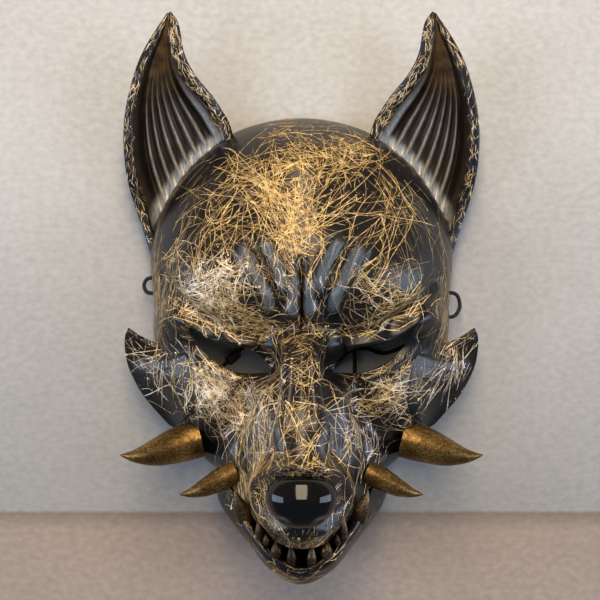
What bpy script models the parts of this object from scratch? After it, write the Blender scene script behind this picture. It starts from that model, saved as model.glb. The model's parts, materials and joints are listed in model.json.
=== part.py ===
# Demon fox mask: hollow face with cheek fins, tall fluted ears, lower jaw, tusks, fangs,
# teeth, a glossy nose pad and an elastic cord with its lock. It lies face up on its back rim.
# X runs across the face, Y from the chin to the ear tips, Z out of the face. Metres.

import math

import bmesh
import bpy
import numpy as np
from mathutils import Vector
from mathutils.bvhtree import BVHTree

# Driving sizes of the face and jaw
HALF_WIDTH = 0.100  # middle of the face to the outside of the temple
LENGTH = 0.300  # scale of the face along Y, about chin to crown
DEPTH = 0.122  # back rim to the front of the muzzle
FACE_WALL = 0.003
JAW_WALL = 0.004
SEAT_GAP = 0.0003  # glue gap between a piece and the face that carries it
TOOTH_GAP = 0.0005  # the same between a tooth and the jaw
JAW_GAP = 0.0014  # gap between the side of the face and the jaw
FACE_ROWS_MADE = 24
FACE_COLUMNS_MADE = 15
JAW_ROWS_MADE = 7
JAW_COLUMNS_MADE = 10

# Driving sizes of the ears and fins
EAR_HEIGHT = 0.151  # foot of the outer edge to the tip
EAR_WIDTH = 0.069
EAR_WALL = 0.0028
EAR_RIM = 0.0085  # width of the smooth band round the fluted hollow
EAR_RECESS = 0.014
EAR_LIFT = 0.038  # height of the ear's rim above the back rim, at the tip
FLUTES = 7
FLUTE_DEPTH = 0.0020
FIN_WALL = 0.003
FIN_EDGE = 0.0016

# Driving sizes of the nose, tusks, fangs and teeth
NOSE_WIDTH = 0.041
NOSE_HEIGHT = 0.033
NOSE_DEPTH = 0.017
NOSTRIL_DEPTH = 0.0022
NOSE_PLACE = (0.0, -0.393, 0.950)  # shares of HALF_WIDTH, LENGTH and DEPTH
NOSE_TILT = -16  # degrees about X
NOSTRIL_PLACE = (0.52, -0.42)  # shares of the nose's half width and half height
NOSTRIL_SIZE = (0.20, 0.17)
NOSE_SEGMENTS = 22
UPPER_TUSK_RADIUS = 0.0118
UPPER_TUSK_REACH = 0.050
LOWER_TUSK_RADIUS = 0.0072
LOWER_TUSK_REACH = 0.035
FANG_RADIUS = 0.0052
FANG_HEIGHT = 0.0165
TOOTH_RADIUS = 0.0033
TOOTH_HEIGHT = 0.0110

# Driving sizes of the cord
CORD_DIAMETER = 0.0026
CORD_HOLE = 0.0040
CORD_HOLE_HEIGHT = 0.014
LOCK_LENGTH = 0.010
LOCK_WIDTH = 0.0064
LOCK_THICKNESS = 0.0050
LOCK_EDGE = 0.0012

# Rows of the face from the upper lip to the crown. The rim and middle points are shares of
# HALF_WIDTH across, LENGTH along and DEPTH out. 'full' is how square the row is, 'sag' how
# late it leaves the rim's Y for the middle's, and 'hook' how much it turns at the mouth's corner.
FACE_COLUMNS = ("rim_x", "rim_y", "mid_y", "mid_z", "cheek_z", "muzzle", "full", "sag", "hook")
MOUTH_CORNER = 0.42  # share of the lip's rise at which it turns
FACE_ROWS = (
    (0.540, -0.372, -0.493, 0.850, 0.66, 0.34, 1.6, 2.5, 1.0),
    (0.570, -0.366, -0.437, 0.930, 0.64, 0.36, 1.75, 2.0, 0.7),
    (0.630, -0.352, -0.353, 1.000, 0.61, 0.38, 2.0, 1.5, 0.2),
    (0.770, -0.307, -0.280, 0.945, 0.54, 0.40, 2.3, 1.0, 0.0),
    (0.860, -0.227, -0.200, 0.860, 0.50, 0.36, 2.5, 1.0, 0.0),
    (0.920, -0.153, -0.130, 0.780, 0.48, 0.29, 2.6, 1.0, 0.0),
    (0.945, -0.090, -0.083, 0.695, 0.50, 0.25, 2.6, 1.0, 0.0),
    (0.955, -0.027, -0.040, 0.650, 0.57, 0.24, 2.4, 1.0, 0.0),
    (0.970, 0.027, 0.017, 0.672, 0.64, 0.30, 2.3, 1.0, 0.0),
    (0.990, 0.093, 0.093, 0.664, 0.65, 0.40, 2.2, 1.0, 0.0),
    (0.960, 0.153, 0.173, 0.615, 0.61, 0.40, 2.15, 1.1, 0.0),
    (0.870, 0.217, 0.250, 0.530, 0.53, 0.40, 2.1, 1.3, 0.0),
    (0.740, 0.280, 0.310, 0.415, 0.41, 0.40, 2.05, 1.6, 0.0),
    (0.600, 0.323, 0.353, 0.270, 0.27, 0.40, 2.0, 1.8, 0.0),
    (0.480, 0.353, 0.383, 0.110, 0.11, 0.40, 2.0, 2.0, 0.0),
    (0.420, 0.365, 0.392, 0.000, 0.00, 0.40, 2.0, 2.0, 0.0),
)

# Sculpted ridges and grooves: height and the fall-off on the left and right of the path as
# shares of DEPTH, then the path across and along the face.
STROKES = (
    # brow over the eye, steep below and soft above
    (0.085, 0.17, 0.045,
     ((0.78, 0.01), (0.68, -0.045), (0.55, -0.077), (0.40, -0.087), (0.26, -0.100), (0.19, -0.118))),
    # hollow of the eye
    (-0.075, 0.075, 0.10, ((0.80, -0.04), (0.62, -0.098), (0.42, -0.128), (0.25, -0.140), (0.17, -0.165))),
    # lower lid
    (0.028, 0.030, 0.040, ((0.78, -0.055), (0.66, -0.112), (0.53, -0.148), (0.40, -0.170), (0.25, -0.172))),
    # outer ridge that runs down beside the brow
    (0.030, 0.030, 0.038, ((0.38, 0.115), (0.30, 0.073), (0.245, 0.035), (0.203, 0.000), (0.178, -0.057))),
    # inner ridge
    (0.028, 0.028, 0.034, ((0.25, 0.122), (0.19, 0.087), (0.14, 0.055), (0.115, 0.024), (0.108, -0.02))),
    # short ridge beside the middle crease
    (0.024, 0.028, 0.020, ((0.062, 0.055), (0.050, 0.020), (0.052, -0.015), (0.060, -0.048))),
    # furrows between the ridges
    (-0.022, 0.026, 0.026, ((0.32, 0.128), (0.245, 0.080), (0.19, 0.040), (0.155, 0.000), (0.142, -0.055))),
    (-0.020, 0.022, 0.022, ((0.16, 0.100), (0.105, 0.060), (0.082, 0.020), (0.082, -0.030))),
    # middle crease and the notch at its foot
    (-0.026, 0.016, 0.016, ((0.00, 0.085), (0.00, 0.040), (0.00, 0.000), (0.00, -0.050))),
    (-0.045, 0.050, 0.040, ((0.15, -0.070), (0.09, -0.062), (0.00, -0.052))),
    # fold from the temple to the outer brow
    (-0.040, 0.040, 0.035, ((0.90, 0.060), (0.77, 0.012), (0.60, -0.035), (0.47, -0.065))),
    # edge of the bridge and the groove beside it
    (0.025, 0.030, 0.050, ((0.10, -0.085), (0.078, -0.150), (0.110, -0.225), (0.190, -0.300))),
    (-0.040, 0.032, 0.030, ((0.16, -0.130), (0.150, -0.200), (0.195, -0.270), (0.235, -0.345))),
    # ridge from the inner corner of the eye down the side of the muzzle
    (0.026, 0.045, 0.035, ((0.225, -0.165), (0.250, -0.230), (0.300, -0.300), (0.330, -0.365))),
    # channel from the cheek to the root of the upper tusk
    (-0.050, 0.060, 0.060, ((0.30, -0.195), (0.42, -0.250), (0.54, -0.300), (0.66, -0.335))),
    # roll of the upper lip
    (0.022, 0.035, 0.035, ((0.50, -0.375), (0.38, -0.405), (0.22, -0.450), (0.00, -0.468))),
)

# Broad swells: height as a share of DEPTH, middle across and along, half sizes across and
# along, turn in degrees and how flat the top is.
SWELLS = (
    (0.060, 0.47, 0.020, 0.36, 0.105, -22.0, 1.3),
    (0.035, 0.66, -0.200, 0.24, 0.080, -35.0, 1.2),
    (0.028, 0.00, 0.220, 0.30, 0.120, 0.0, 1.0),
    (-0.018, 0.34, 0.170, 0.20, 0.070, 35.0, 1.0),
    (0.032, 0.25, -0.390, 0.15, 0.060, -40.0, 1.2),
)

# Eye opening, from the outer corner along the upper lid and back along the lower one
EYE_OUTLINE = (
    (0.700, -0.060), (0.630, -0.075), (0.560, -0.089), (0.480, -0.098), (0.400, -0.102), (0.340, -0.105),
    (0.280, -0.115), (0.235, -0.128), (0.205, -0.145), (0.200, -0.157), (0.260, -0.158), (0.330, -0.159),
    (0.400, -0.156), (0.460, -0.148), (0.520, -0.138), (0.580, -0.123), (0.635, -0.104), (0.680, -0.081),
)

# Jaw from the chin to the corner of the mouth: its lip, its widest line and its rim, each
# across, along and out of the face.
JAW_COLUMNS = (
    ((0.00, -0.540, 0.765), (0.00, -0.560, 0.740), (0.00, -0.583, 0.590),
     (0.00, -0.555, 0.25), (0.00, -0.535, 0.00)),
    ((0.16, -0.520, 0.740), (0.17, -0.538, 0.715), (0.19, -0.556, 0.570),
     (0.20, -0.537, 0.25), (0.20, -0.520, 0.00)),
    ((0.26, -0.492, 0.690), (0.28, -0.502, 0.660), (0.32, -0.509, 0.520),
     (0.33, -0.500, 0.25), (0.33, -0.487, 0.00)),
    ((0.36, -0.445, 0.600), (0.39, -0.455, 0.570), (0.44, -0.464, 0.450),
     (0.45, -0.458, 0.22), (0.44, -0.450, 0.00)),
    ((0.44, -0.398, 0.420), (0.47, -0.410, 0.390), (0.53, -0.425, 0.290),
     (0.53, -0.425, 0.15), (0.52, -0.420, 0.00)),
    ((0.49, -0.350, 0.260), (0.52, -0.360, 0.230), (0.56, -0.370, 0.160),
     (0.56, -0.372, 0.08), (0.55, -0.370, 0.00)),
)

# Ear from below the dome to the tip: its outer and inner edge as shares of EAR_WIDTH and
# EAR_HEIGHT from the foot of the outer edge, the depth of the hollow as a share of EAR_RECESS
# and the height of the rim as a share of EAR_LIFT.
EAR_FOOT = (0.980, 0.103)
EAR_ROWS = (
    (-0.020, -0.060, -0.800, 0.450, 0.45, 0.36),
    (0.070, 0.080, -0.740, 0.545, 0.60, 0.39),
    (0.150, 0.190, -0.670, 0.600, 0.80, 0.44),
    (0.205, 0.290, -0.600, 0.648, 0.95, 0.56),
    (0.230, 0.385, -0.530, 0.685, 1.00, 0.66),
    (0.232, 0.490, -0.455, 0.725, 1.00, 0.76),
    (0.207, 0.588, -0.385, 0.775, 0.90, 0.85),
    (0.146, 0.700, -0.335, 0.830, 0.72, 0.92),
    (0.061, 0.806, -0.312, 0.890, 0.50, 0.97),
    (-0.061, 0.904, -0.285, 0.950, 0.22, 1.00),
    (-0.180, 0.985, -0.222, 0.993, 0.00, 1.00),
)
EAR_ROWS_MADE = 11
EAR_BAND_COLUMNS = 3
EAR_BAND_SPREAD = 0.20  # share of the ear's columns in the band at each edge
EAR_CREST = 0.0012  # how far the band swells
FLUTES_START = 0.24  # share of the ear's columns before the first flute
FLUTE_COLUMNS = 2  # each side of a flute's bottom

# Cheek fin from its hooked tip to its lower root: where it leaves the cheek, across and
# along, and its free edge, across, along and out.
FIN_ROWS = (
    (1.085, -0.0700, 1.105, -0.066, 0.225),
    (1.030, -0.0830, 1.128, -0.080, 0.215),
    (0.930, -0.0980, 1.134, -0.105, 0.205),
    (0.760, -0.1100, 1.118, -0.140, 0.200),
    (0.700, -0.1350, 1.075, -0.175, 0.195),
    (0.680, -0.1650, 1.015, -0.210, 0.190),
    (0.670, -0.1950, 0.945, -0.238, 0.190),
    (0.665, -0.2200, 0.890, -0.258, 0.190),
    (0.670, -0.2350, 0.850, -0.272, 0.195),
    (0.680, -0.2450, 0.815, -0.278, 0.205),
)
FIN_FREE_ROWS = 3  # rows at the hook that don't reach the cheek
FIN_HOOK_RISE = 0.0015  # how far the free hook's inner edge stands above its outer one
FIN_SINK = 0.0012  # how far the fin's front starts inside the cheek's wall
FIN_STEPS = 14
FIN_COLUMNS = 8

# Tusks, fangs and teeth: each has its root on the face or jaw, the way it leaves and bends
# in shares of its reach, and its radius along it in shares of its root's radius.
UPPER_TUSK_ROOT = (0.640, -0.300, 0.285)
UPPER_TUSK_BEND = (
    (0.00, 0.00, 0.00), (0.25, -0.065, 0.03), (0.55, -0.164, 0.08), (0.80, -0.210, 0.11), (1.0, -0.200, 0.12),
)
UPPER_TUSK_TAPER = (1.0, 0.99, 0.76, 0.40, 0.055)
LOWER_TUSK_ROOT = (0.400, -0.362, 0.450)
LOWER_TUSK_BEND = (
    (0.00, 0.00, 0.00), (0.25, -0.11, 0.02), (0.55, -0.27, 0.04), (0.80, -0.365, 0.05), (1.0, -0.40, 0.05),
)
LOWER_TUSK_TAPER = (1.0, 1.0, 0.80, 0.45, 0.08)
FANG_ROOT = (0.345, -0.448, 0.585)
FANG_BEND = ((0.00, -0.10, -0.10), (0.10, 0.25, 0.05), (0.25, 0.62, 0.15), (0.36, 1.0, 0.22))
FANG_TAPER = (1.0, 0.95, 0.62, 0.10)
TOOTH_BEND = ((0.00, -0.20, -0.15), (0.00, 0.25, 0.05), (0.02, 0.65, 0.12), (0.04, 1.0, 0.16))
TOOTH_TAPER = (0.85, 1.0, 0.66, 0.12)
# The teeth of one side from the middle out: root across, along and out, then width and height.
TEETH = (
    (0.060, -0.527, 0.745, 0.90, 0.92),
    (0.150, -0.512, 0.735, 1.05, 0.70),
    (0.212, -0.492, 0.700, 0.60, 0.48),
    (0.252, -0.480, 0.675, 0.85, 0.98),
)

# Holes for the cord on each side and the cord's route from one end of the lock to the other
LEFT_HOLES_Y = (0.0123, 0.0025)
RIGHT_HOLES_Y = (0.0026, -0.0130)
LOCK_PLACE = (-0.0450, -0.0395, 0.0026)
LOCK_TURN = 39.5
CORD_ROUTE = (
    (-0.0491, -0.0429, 0.0026), (-0.0560, -0.0485, 0.0015), (-0.0650, -0.0500, 0.0015),
    (-0.0740, -0.0430, 0.0015), (-0.0800, -0.0300, 0.0015), (-0.0835, -0.0150, 0.0030),
    (-0.0865, -0.0040, 0.0090), (-0.0910, 0.0022, 0.0136), (-0.0985, 0.0025, 0.0140),
    (-0.1012, 0.0040, 0.0140), (-0.1024, 0.0074, 0.0140), (-0.1012, 0.0108, 0.0140),
    (-0.0985, 0.0123, 0.0140), (-0.0910, 0.0122, 0.0134), (-0.0850, 0.0100, 0.0050),
    (-0.0770, 0.0040, 0.0015), (-0.0560, -0.0060, 0.0015), (-0.0320, -0.0080, 0.0015),
    (-0.0120, -0.0120, 0.0015), (-0.0030, -0.0270, 0.0015), (0.0050, -0.0420, 0.0015),
    (0.0150, -0.0470, 0.0016), (0.0240, -0.0415, 0.0036), (0.0340, -0.0345, 0.0046),
    (0.0430, -0.0340, 0.0034), (0.0540, -0.0370, 0.0016), (0.0660, -0.0330, 0.0015),
    (0.0770, -0.0270, 0.0015), (0.0840, -0.0190, 0.0060), (0.0900, -0.0132, 0.0136),
    (0.0975, -0.0130, 0.0140), (0.1010, -0.0108, 0.0140), (0.1030, -0.0058, 0.0140),
    (0.1018, 0.0000, 0.0140), (0.0985, 0.0026, 0.0140), (0.0910, 0.0026, 0.0134),
    (0.0845, 0.0010, 0.0050), (0.0760, -0.0050, 0.0015), (0.0600, -0.0100, 0.0015),
    (0.0450, -0.0130, 0.0015), (0.0365, -0.0220, 0.0015), (0.0350, -0.0350, 0.0015),
    (0.0350, -0.0500, 0.0015), (0.0320, -0.0620, 0.0015), (0.0220, -0.0730, 0.0015),
    (0.0050, -0.0770, 0.0015), (-0.0080, -0.0680, 0.0015), (-0.0140, -0.0520, 0.0015),
    (-0.0165, -0.0350, 0.0015), (-0.0230, -0.0240, 0.0015), (-0.0320, -0.0270, 0.0018),
    (-0.0409, -0.0361, 0.0026),
)
CORD_STEP = 0.0078


def clear_scene():
    for thing in list(bpy.data.objects):
        bpy.data.objects.remove(thing, do_unlink=True)


def new_collection(name):
    made = bpy.data.collections.new(name)
    bpy.context.scene.collection.children.link(made)
    return made


def new_object(name, mesh, collection, parent, paint=None):
    thing = bpy.data.objects.new(name, mesh)
    collection.objects.link(thing)
    thing.parent = parent
    if paint is not None:
        mesh.materials.append(paint)
    return thing


def new_cutter(name, mesh, collection, parent):
    thing = new_object(name, mesh, collection, parent)
    thing.hide_render = True
    thing.display_type = "WIRE"
    return thing


def new_paint(name, colour, roughness, metallic):
    paint = bpy.data.materials.new(name)
    paint.use_nodes = True
    surface = paint.node_tree.nodes["Principled BSDF"]
    surface.inputs["Base Color"].default_value = (*colour, 1.0)
    surface.inputs["Roughness"].default_value = roughness
    surface.inputs["Metallic"].default_value = metallic
    return paint


def cut(thing, cutter, operation="DIFFERENCE"):
    modifier = thing.modifiers.new(cutter.name, "BOOLEAN")
    modifier.object = cutter
    modifier.operation = operation


# A point on the face from its shares across, along and out
def face_point(across, along, out):
    return np.array((across * HALF_WIDTH, along * LENGTH, out * DEPTH))


# Smooth values between the rows of a table, where 'place' counts in rows
def between_rows(table, place):
    last = len(table) - 1
    start = np.clip(np.floor(place).astype(int), 0, last - 1)
    part = (place - start).reshape((-1,) + (1,) * (table.ndim - 1))
    before = table[np.maximum(start - 1, 0)]
    here = table[start]
    after = table[start + 1]
    beyond = table[np.minimum(start + 2, last)]
    curve = 2 * before - 5 * here + 4 * after - beyond
    turn = 3 * (here - after) + beyond - before
    return here + 0.5 * part * (after - before + part * (curve + part * turn))


def smooth_line(points, count):
    return between_rows(np.array(points, float), np.linspace(0, len(points) - 1, count))


def smooth_step(value):
    value = np.clip(value, 0.0, 1.0)
    return value * value * (3 - 2 * value)


# The points of a line at equal steps along it
def even_steps(line, count):
    steps = np.linalg.norm(np.diff(line, axis=0), axis=1)
    far = np.concatenate(([0.0], np.cumsum(steps)))
    wanted = np.linspace(0, far[-1], count)
    return np.stack([np.interp(wanted, far, line[:, axis]) for axis in range(3)], axis=1)


def grid_normals(grid):
    normals = np.cross(np.gradient(grid, axis=1), np.gradient(grid, axis=0))
    return normals / np.maximum(np.linalg.norm(normals, axis=2, keepdims=True), 1e-12)


# The plain form of half the face, before any sculpting, as rows from lip to crown
def plain_face(rows, columns):
    table = np.array(FACE_ROWS)
    fine_rows, fine_columns = 8 * (len(table) - 1) + 1, 4 * columns
    values = between_rows(table, np.linspace(0, len(table) - 1, fine_rows))
    column = dict(zip(FACE_COLUMNS, values.T[:, :, None]))
    angle = np.linspace(math.pi / 2, 0, fine_columns)[None, :]
    reach = np.cos(angle) ** (2 / column["full"])
    rise = np.sin(angle) ** (2 / column["full"])
    x = column["rim_x"] * reach
    swell = np.cos(math.pi / 2 * np.clip(x / column["muzzle"], 0, 1) ** 1.3) ** 2
    z = column["cheek_z"] * rise + (column["mid_z"] - column["cheek_z"]) * swell
    turn = smooth_step((rise - MOUTH_CORNER) / (1 - MOUTH_CORNER))
    leave = rise ** column["sag"] + (turn - rise ** column["sag"]) * column["hook"]
    y = column["rim_y"] + (column["mid_y"] - column["rim_y"]) * leave
    fine = np.stack([x * HALF_WIDTH, y * LENGTH, z * DEPTH], axis=2)
    fine = np.stack([even_steps(line, columns + 1) for line in fine])
    gaps = np.linalg.norm(np.diff(fine, axis=0), axis=2).mean(axis=1)
    far = np.concatenate(([0.0], np.cumsum(gaps)))
    place = np.interp(np.linspace(0, far[-1], rows + 1), far, np.arange(fine_rows))
    return between_rows(fine, place)


# How far points lie from a path, on which side of it, and how far along it they are
def near_path(across, along, path):
    line = smooth_line(path, 6 * len(path))
    start, step = line[:-1], np.diff(line, axis=0)
    ahead = np.stack([across, along], axis=-1)[..., None, :] - start
    part = np.clip((ahead * step).sum(-1) / (step * step).sum(-1), 0, 1)
    off = ahead - part[..., None] * step
    far = np.linalg.norm(off, axis=-1)
    best = far.argmin(axis=-1)[..., None]
    side = step[:, 0] * off[..., 1] - step[:, 1] * off[..., 0]
    far, side, part = (np.take_along_axis(values, best, -1)[..., 0] for values in (far, side, part))
    return far, side > 0, (part + best[..., 0]) / len(step)


# The sculpted height over the plain face
def relief(points):
    x, y = points[..., 0], points[..., 1]
    height = np.zeros(x.shape)
    for rise, left, right, path in STROKES:
        route = np.array(path) * (HALF_WIDTH, LENGTH)
        far, on_left, part = near_path(x, y, route)
        width = np.where(on_left, left, right) * DEPTH
        ends = smooth_step(part / 0.22) * smooth_step((1 - part) / 0.22)
        if path[0][0] == 0:
            ends = smooth_step((1 - part) / 0.22)
        if path[-1][0] == 0:
            ends = smooth_step(part / 0.22)
        height += rise * DEPTH * np.exp(-((far / width) ** 2)) * ends
    for rise, across, along, wide, long, turn, flat in SWELLS:
        angle = math.radians(turn)
        right, up = x - across * HALF_WIDTH, y - along * LENGTH
        u = (right * math.cos(angle) + up * math.sin(angle)) / (wide * HALF_WIDTH)
        v = (up * math.cos(angle) - right * math.sin(angle)) / (long * LENGTH)
        height += rise * DEPTH * np.exp(-((u * u + v * v) ** flat))
    return height


# Half the outer face, sculpted and then grown outwards by a clearance
def face_surface(rows, columns, grow=0.0):
    points = plain_face(rows, columns)
    outwards = grid_normals(points)
    outwards[:, 0, 0] = 0
    points = points + outwards * relief(points)[..., None]
    outwards = grid_normals(points)
    outwards[:, 0, 0] = 0
    points = points + outwards * grow
    points[:, 0, 0] = 0
    return points


def with_skirt(points, depth):
    side = points[:, -1:].copy()
    side[..., 2] = -depth
    points = np.concatenate([points, side], axis=1)
    crown = points[-1:].copy()
    crown[..., 2] = -depth
    return np.concatenate([points, crown], axis=0)


# A grid primitive moved onto computed points
def sheet_mesh(name, points):
    rows, columns = points.shape[0] - 1, points.shape[1] - 1
    mesh = bpy.data.meshes.new(name)
    bm = bmesh.new()
    bmesh.ops.create_grid(bm, x_segments=columns, y_segments=rows, size=1)
    for vertex in bm.verts:
        column = round((vertex.co.x + 1) / 2 * columns)
        row = round((vertex.co.y + 1) / 2 * rows)
        vertex.co = points[row, column]
    # the same diagonals on every copy keep the seat gaps even where the quads are bent
    bmesh.ops.triangulate(bm, faces=bm.faces, quad_method="FIXED")
    bm.to_mesh(mesh)
    bm.free()
    mesh.shade_smooth()
    return mesh


def mirror_in_x(thing):
    mirror = thing.modifiers.new("mirror", "MIRROR")
    mirror.merge_threshold = 0.0001
    mirror.use_clip = True


def thicken(thing, wall):
    solid = thing.modifiers.new("wall", "SOLIDIFY")
    solid.thickness = wall
    solid.offset = -1


# A closed solid between a front and a back grid of the same size
def slab_mesh(name, front, back):
    rows, columns = front.shape[0], front.shape[1]
    bm = bmesh.new()
    top = [[bm.verts.new(point) for point in row] for row in front]
    low = [[bm.verts.new(point) for point in row] for row in back]
    for r in range(rows - 1):
        for c in range(columns - 1):
            bm.faces.new((top[r][c], top[r][c + 1], top[r + 1][c + 1], top[r + 1][c]))
            bm.faces.new((low[r][c], low[r + 1][c], low[r + 1][c + 1], low[r][c + 1]))
    for c in range(columns - 1):
        bm.faces.new((top[0][c], low[0][c], low[0][c + 1], top[0][c + 1]))
        bm.faces.new((top[-1][c], top[-1][c + 1], low[-1][c + 1], low[-1][c]))
    for r in range(rows - 1):
        bm.faces.new((top[r][0], top[r + 1][0], low[r + 1][0], low[r][0]))
        bm.faces.new((top[r][-1], low[r][-1], low[r + 1][-1], top[r + 1][-1]))
    bmesh.ops.recalc_face_normals(bm, faces=bm.faces)
    mesh = bpy.data.meshes.new(name)
    bm.to_mesh(mesh)
    bm.free()
    mesh.shade_smooth()
    mesh.set_sharp_from_angle(angle=math.radians(50))
    return mesh


def box_mesh(name, low, high):
    bm = bmesh.new()
    bmesh.ops.create_cube(bm, size=1)
    low, high = Vector(low), Vector(high)
    for vertex in bm.verts:
        vertex.co = [(low[i] + high[i]) / 2 + vertex.co[i] * (high[i] - low[i]) for i in range(3)]
    mesh = bpy.data.meshes.new(name)
    bm.to_mesh(mesh)
    bm.free()
    return mesh


# A curve object turned into a closed mesh
def mesh_from_curve(name, curve):
    helper = bpy.data.objects.new(name, curve)
    bpy.context.scene.collection.objects.link(helper)
    graph = bpy.context.evaluated_depsgraph_get()
    mesh = bpy.data.meshes.new_from_object(helper.evaluated_get(graph))
    bpy.data.objects.remove(helper, do_unlink=True)
    bm = bmesh.new()
    bm.from_mesh(mesh)
    bmesh.ops.remove_doubles(bm, verts=bm.verts, dist=0.00001)
    bmesh.ops.recalc_face_normals(bm, faces=bm.faces)
    bm.to_mesh(mesh)
    bm.free()
    mesh.materials.clear()
    return mesh


def flat_prism(name, outline, low, high):
    curve = bpy.data.curves.new(name, "CURVE")
    curve.dimensions = "2D"
    curve.fill_mode = "BOTH"
    curve.extrude = (high - low) / 2
    spline = curve.splines.new("POLY")
    spline.points.add(len(outline) - 1)
    for point, place in zip(spline.points, outline):
        point.co = (*place, 0.0, 1.0)
    spline.use_cyclic_u = True
    mesh = mesh_from_curve(name, curve)
    for vertex in mesh.vertices:
        vertex.co.z += (low + high) / 2
    return mesh


# A round horn along a bent line, thinner towards its tip
def horn_mesh(name, line, radii, sides_setting, count):
    curve = bpy.data.curves.new(name, "CURVE")
    curve.dimensions = "3D"
    curve.bevel_depth = 1.0
    curve.bevel_resolution = sides_setting
    curve.use_fill_caps = True
    spline = curve.splines.new("POLY")
    spline.points.add(count - 1)
    places = smooth_line(line, count)
    sizes = smooth_line([(radius,) for radius in radii], count)[:, 0]
    for point, place, radius in zip(spline.points, places, sizes):
        point.co = (*place, 1.0)
        point.radius = radius
    mesh = mesh_from_curve(name, curve)
    mesh.shade_smooth()
    mesh.set_sharp_from_angle(angle=math.radians(60))
    return mesh


def mirrored(points, side):
    return np.asarray(points, float) * (side, 1, 1)


def make_face_blank(cutters, parent):
    points = face_surface(FACE_ROWS_MADE, FACE_COLUMNS_MADE, SEAT_GAP)
    lip = points[:1].copy()
    lip[..., 2] = 0
    points = with_skirt(np.concatenate([lip, points], axis=0), 2 * FACE_WALL)
    floor = points[:1].copy()
    floor[..., 2] = -2 * FACE_WALL
    points = np.concatenate([floor, points], axis=0)
    blank = new_cutter("face_blank", sheet_mesh("face_blank", points), cutters, parent)
    mirror_in_x(blank)
    bpy.context.view_layer.update()
    graph = bpy.context.evaluated_depsgraph_get()
    mesh = bpy.data.meshes.new_from_object(blank.evaluated_get(graph))
    blank.modifiers.clear()
    bm = bmesh.new()
    bm.from_mesh(mesh)
    open_edges = [edge for edge in bm.edges if edge.is_boundary]
    bmesh.ops.holes_fill(bm, edges=open_edges)
    bmesh.ops.triangulate(bm, faces=[face for face in bm.faces if len(face.verts) > 4])
    bmesh.ops.recalc_face_normals(bm, faces=bm.faces)
    bm.to_mesh(mesh)
    bm.free()
    blank.data = mesh
    return blank


# The outer face as a tree that finds the height and slope above a point
def face_tree():
    grid = face_surface(FACE_ROWS_MADE, FACE_COLUMNS_MADE)
    rows, columns = grid.shape[:2]
    number = np.arange(rows * columns).reshape(rows, columns)
    faces = np.stack([number[:-1, :-1], number[:-1, 1:], number[1:, 1:], number[1:, :-1]], axis=-1)
    return BVHTree.FromPolygons(grid.reshape(-1, 3).tolist(), faces.reshape(-1, 4).tolist())


# The front of one fin: each row leaves the cheek along its slope and runs to the free edge
def fin_front(tree, steps, columns, sink):
    rows = np.array(FIN_ROWS) * (HALF_WIDTH, LENGTH, HALF_WIDTH, LENGTH, DEPTH)
    place = np.linspace(0, len(rows) - 1, steps)
    share = np.linspace(0, 1, columns)[:, None]
    front = []
    for number, (from_x, from_y, to_x, to_y, to_z) in zip(place, between_rows(rows, place)):
        edge = np.array((to_x, to_y, to_z))
        hit, normal = tree.ray_cast(Vector((from_x, from_y, 2 * DEPTH)), Vector((0, 0, -1)))[:2]
        if number < FIN_FREE_ROWS or hit is None:
            start = np.array((from_x, from_y, to_z + FIN_HOOK_RISE))
            leave = edge - start
        else:
            start = np.array(hit) - np.array(normal) * sink
            away = edge - start
            leave = away - np.array(normal) * np.dot(away, normal)
        arrive = (edge - start) * (1, 1, 0.25)
        front.append(
            start * (1 - 3 * share**2 + 2 * share**3) + edge * (3 * share**2 - 2 * share**3)
            + leave * (share - 2 * share**2 + share**3) + arrive * (share**3 - share**2)
        )
    return np.stack(front)


def make_fin(name, side, cutters, parent):
    front = fin_front(face_tree(), FIN_STEPS, FIN_COLUMNS, FIN_SINK)
    across = np.linspace(0, 1, FIN_COLUMNS)
    wall = FIN_WALL + (FIN_EDGE - FIN_WALL) * across
    start = np.minimum(FACE_WALL - 1.5 * FIN_SINK, wall)
    wall = wall + (start - wall) * (1 - smooth_step(across / 0.4))
    back = front - grid_normals(front) * wall[None, :, None]
    mesh = slab_mesh(name, mirrored(front, side), mirrored(back, side))
    return new_cutter(name, mesh, cutters, parent)


def make_face(parts, cutters, parent, paint):
    points = with_skirt(face_surface(FACE_ROWS_MADE, FACE_COLUMNS_MADE), 2 * FACE_WALL)
    face = new_object("face_shell", sheet_mesh("face_shell", points), parts, parent, paint)
    mirror_in_x(face)
    thicken(face, FACE_WALL)
    for side, name in ((-1, "fin_left"), (1, "fin_right")):
        cut(face, make_fin(name, side, cutters, parent), "UNION")
    return face


def make_eye_cutters(cutters, parent):
    made = []
    for side, name in ((-1, "eye_left"), (1, "eye_right")):
        outline = np.array(EYE_OUTLINE) * (side * HALF_WIDTH, LENGTH)
        mesh = flat_prism(name, outline, 0.15 * DEPTH, DEPTH)
        made.append(new_cutter(name, mesh, cutters, parent))
    return made


def make_hole_cutters(cutters, parent):
    made = []
    for side, places in ((-1, LEFT_HOLES_Y), (1, RIGHT_HOLES_Y)):
        for number, along in enumerate(places):
            bm = bmesh.new()
            bmesh.ops.create_cone(
                bm, cap_ends=True, segments=12, depth=0.3 * HALF_WIDTH,
                radius1=CORD_HOLE / 2, radius2=CORD_HOLE / 2,
            )
            name = f"cord_hole_{'left' if side < 0 else 'right'}_{number + 1}"
            mesh = bpy.data.meshes.new(name)
            bm.to_mesh(mesh)
            bm.free()
            drill = new_cutter(name, mesh, cutters, parent)
            drill.location = (side * 0.96 * HALF_WIDTH, along, CORD_HOLE_HEIGHT)
            drill.rotation_euler = (0, math.pi / 2, 0)
            made.append(drill)
    return made


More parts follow.
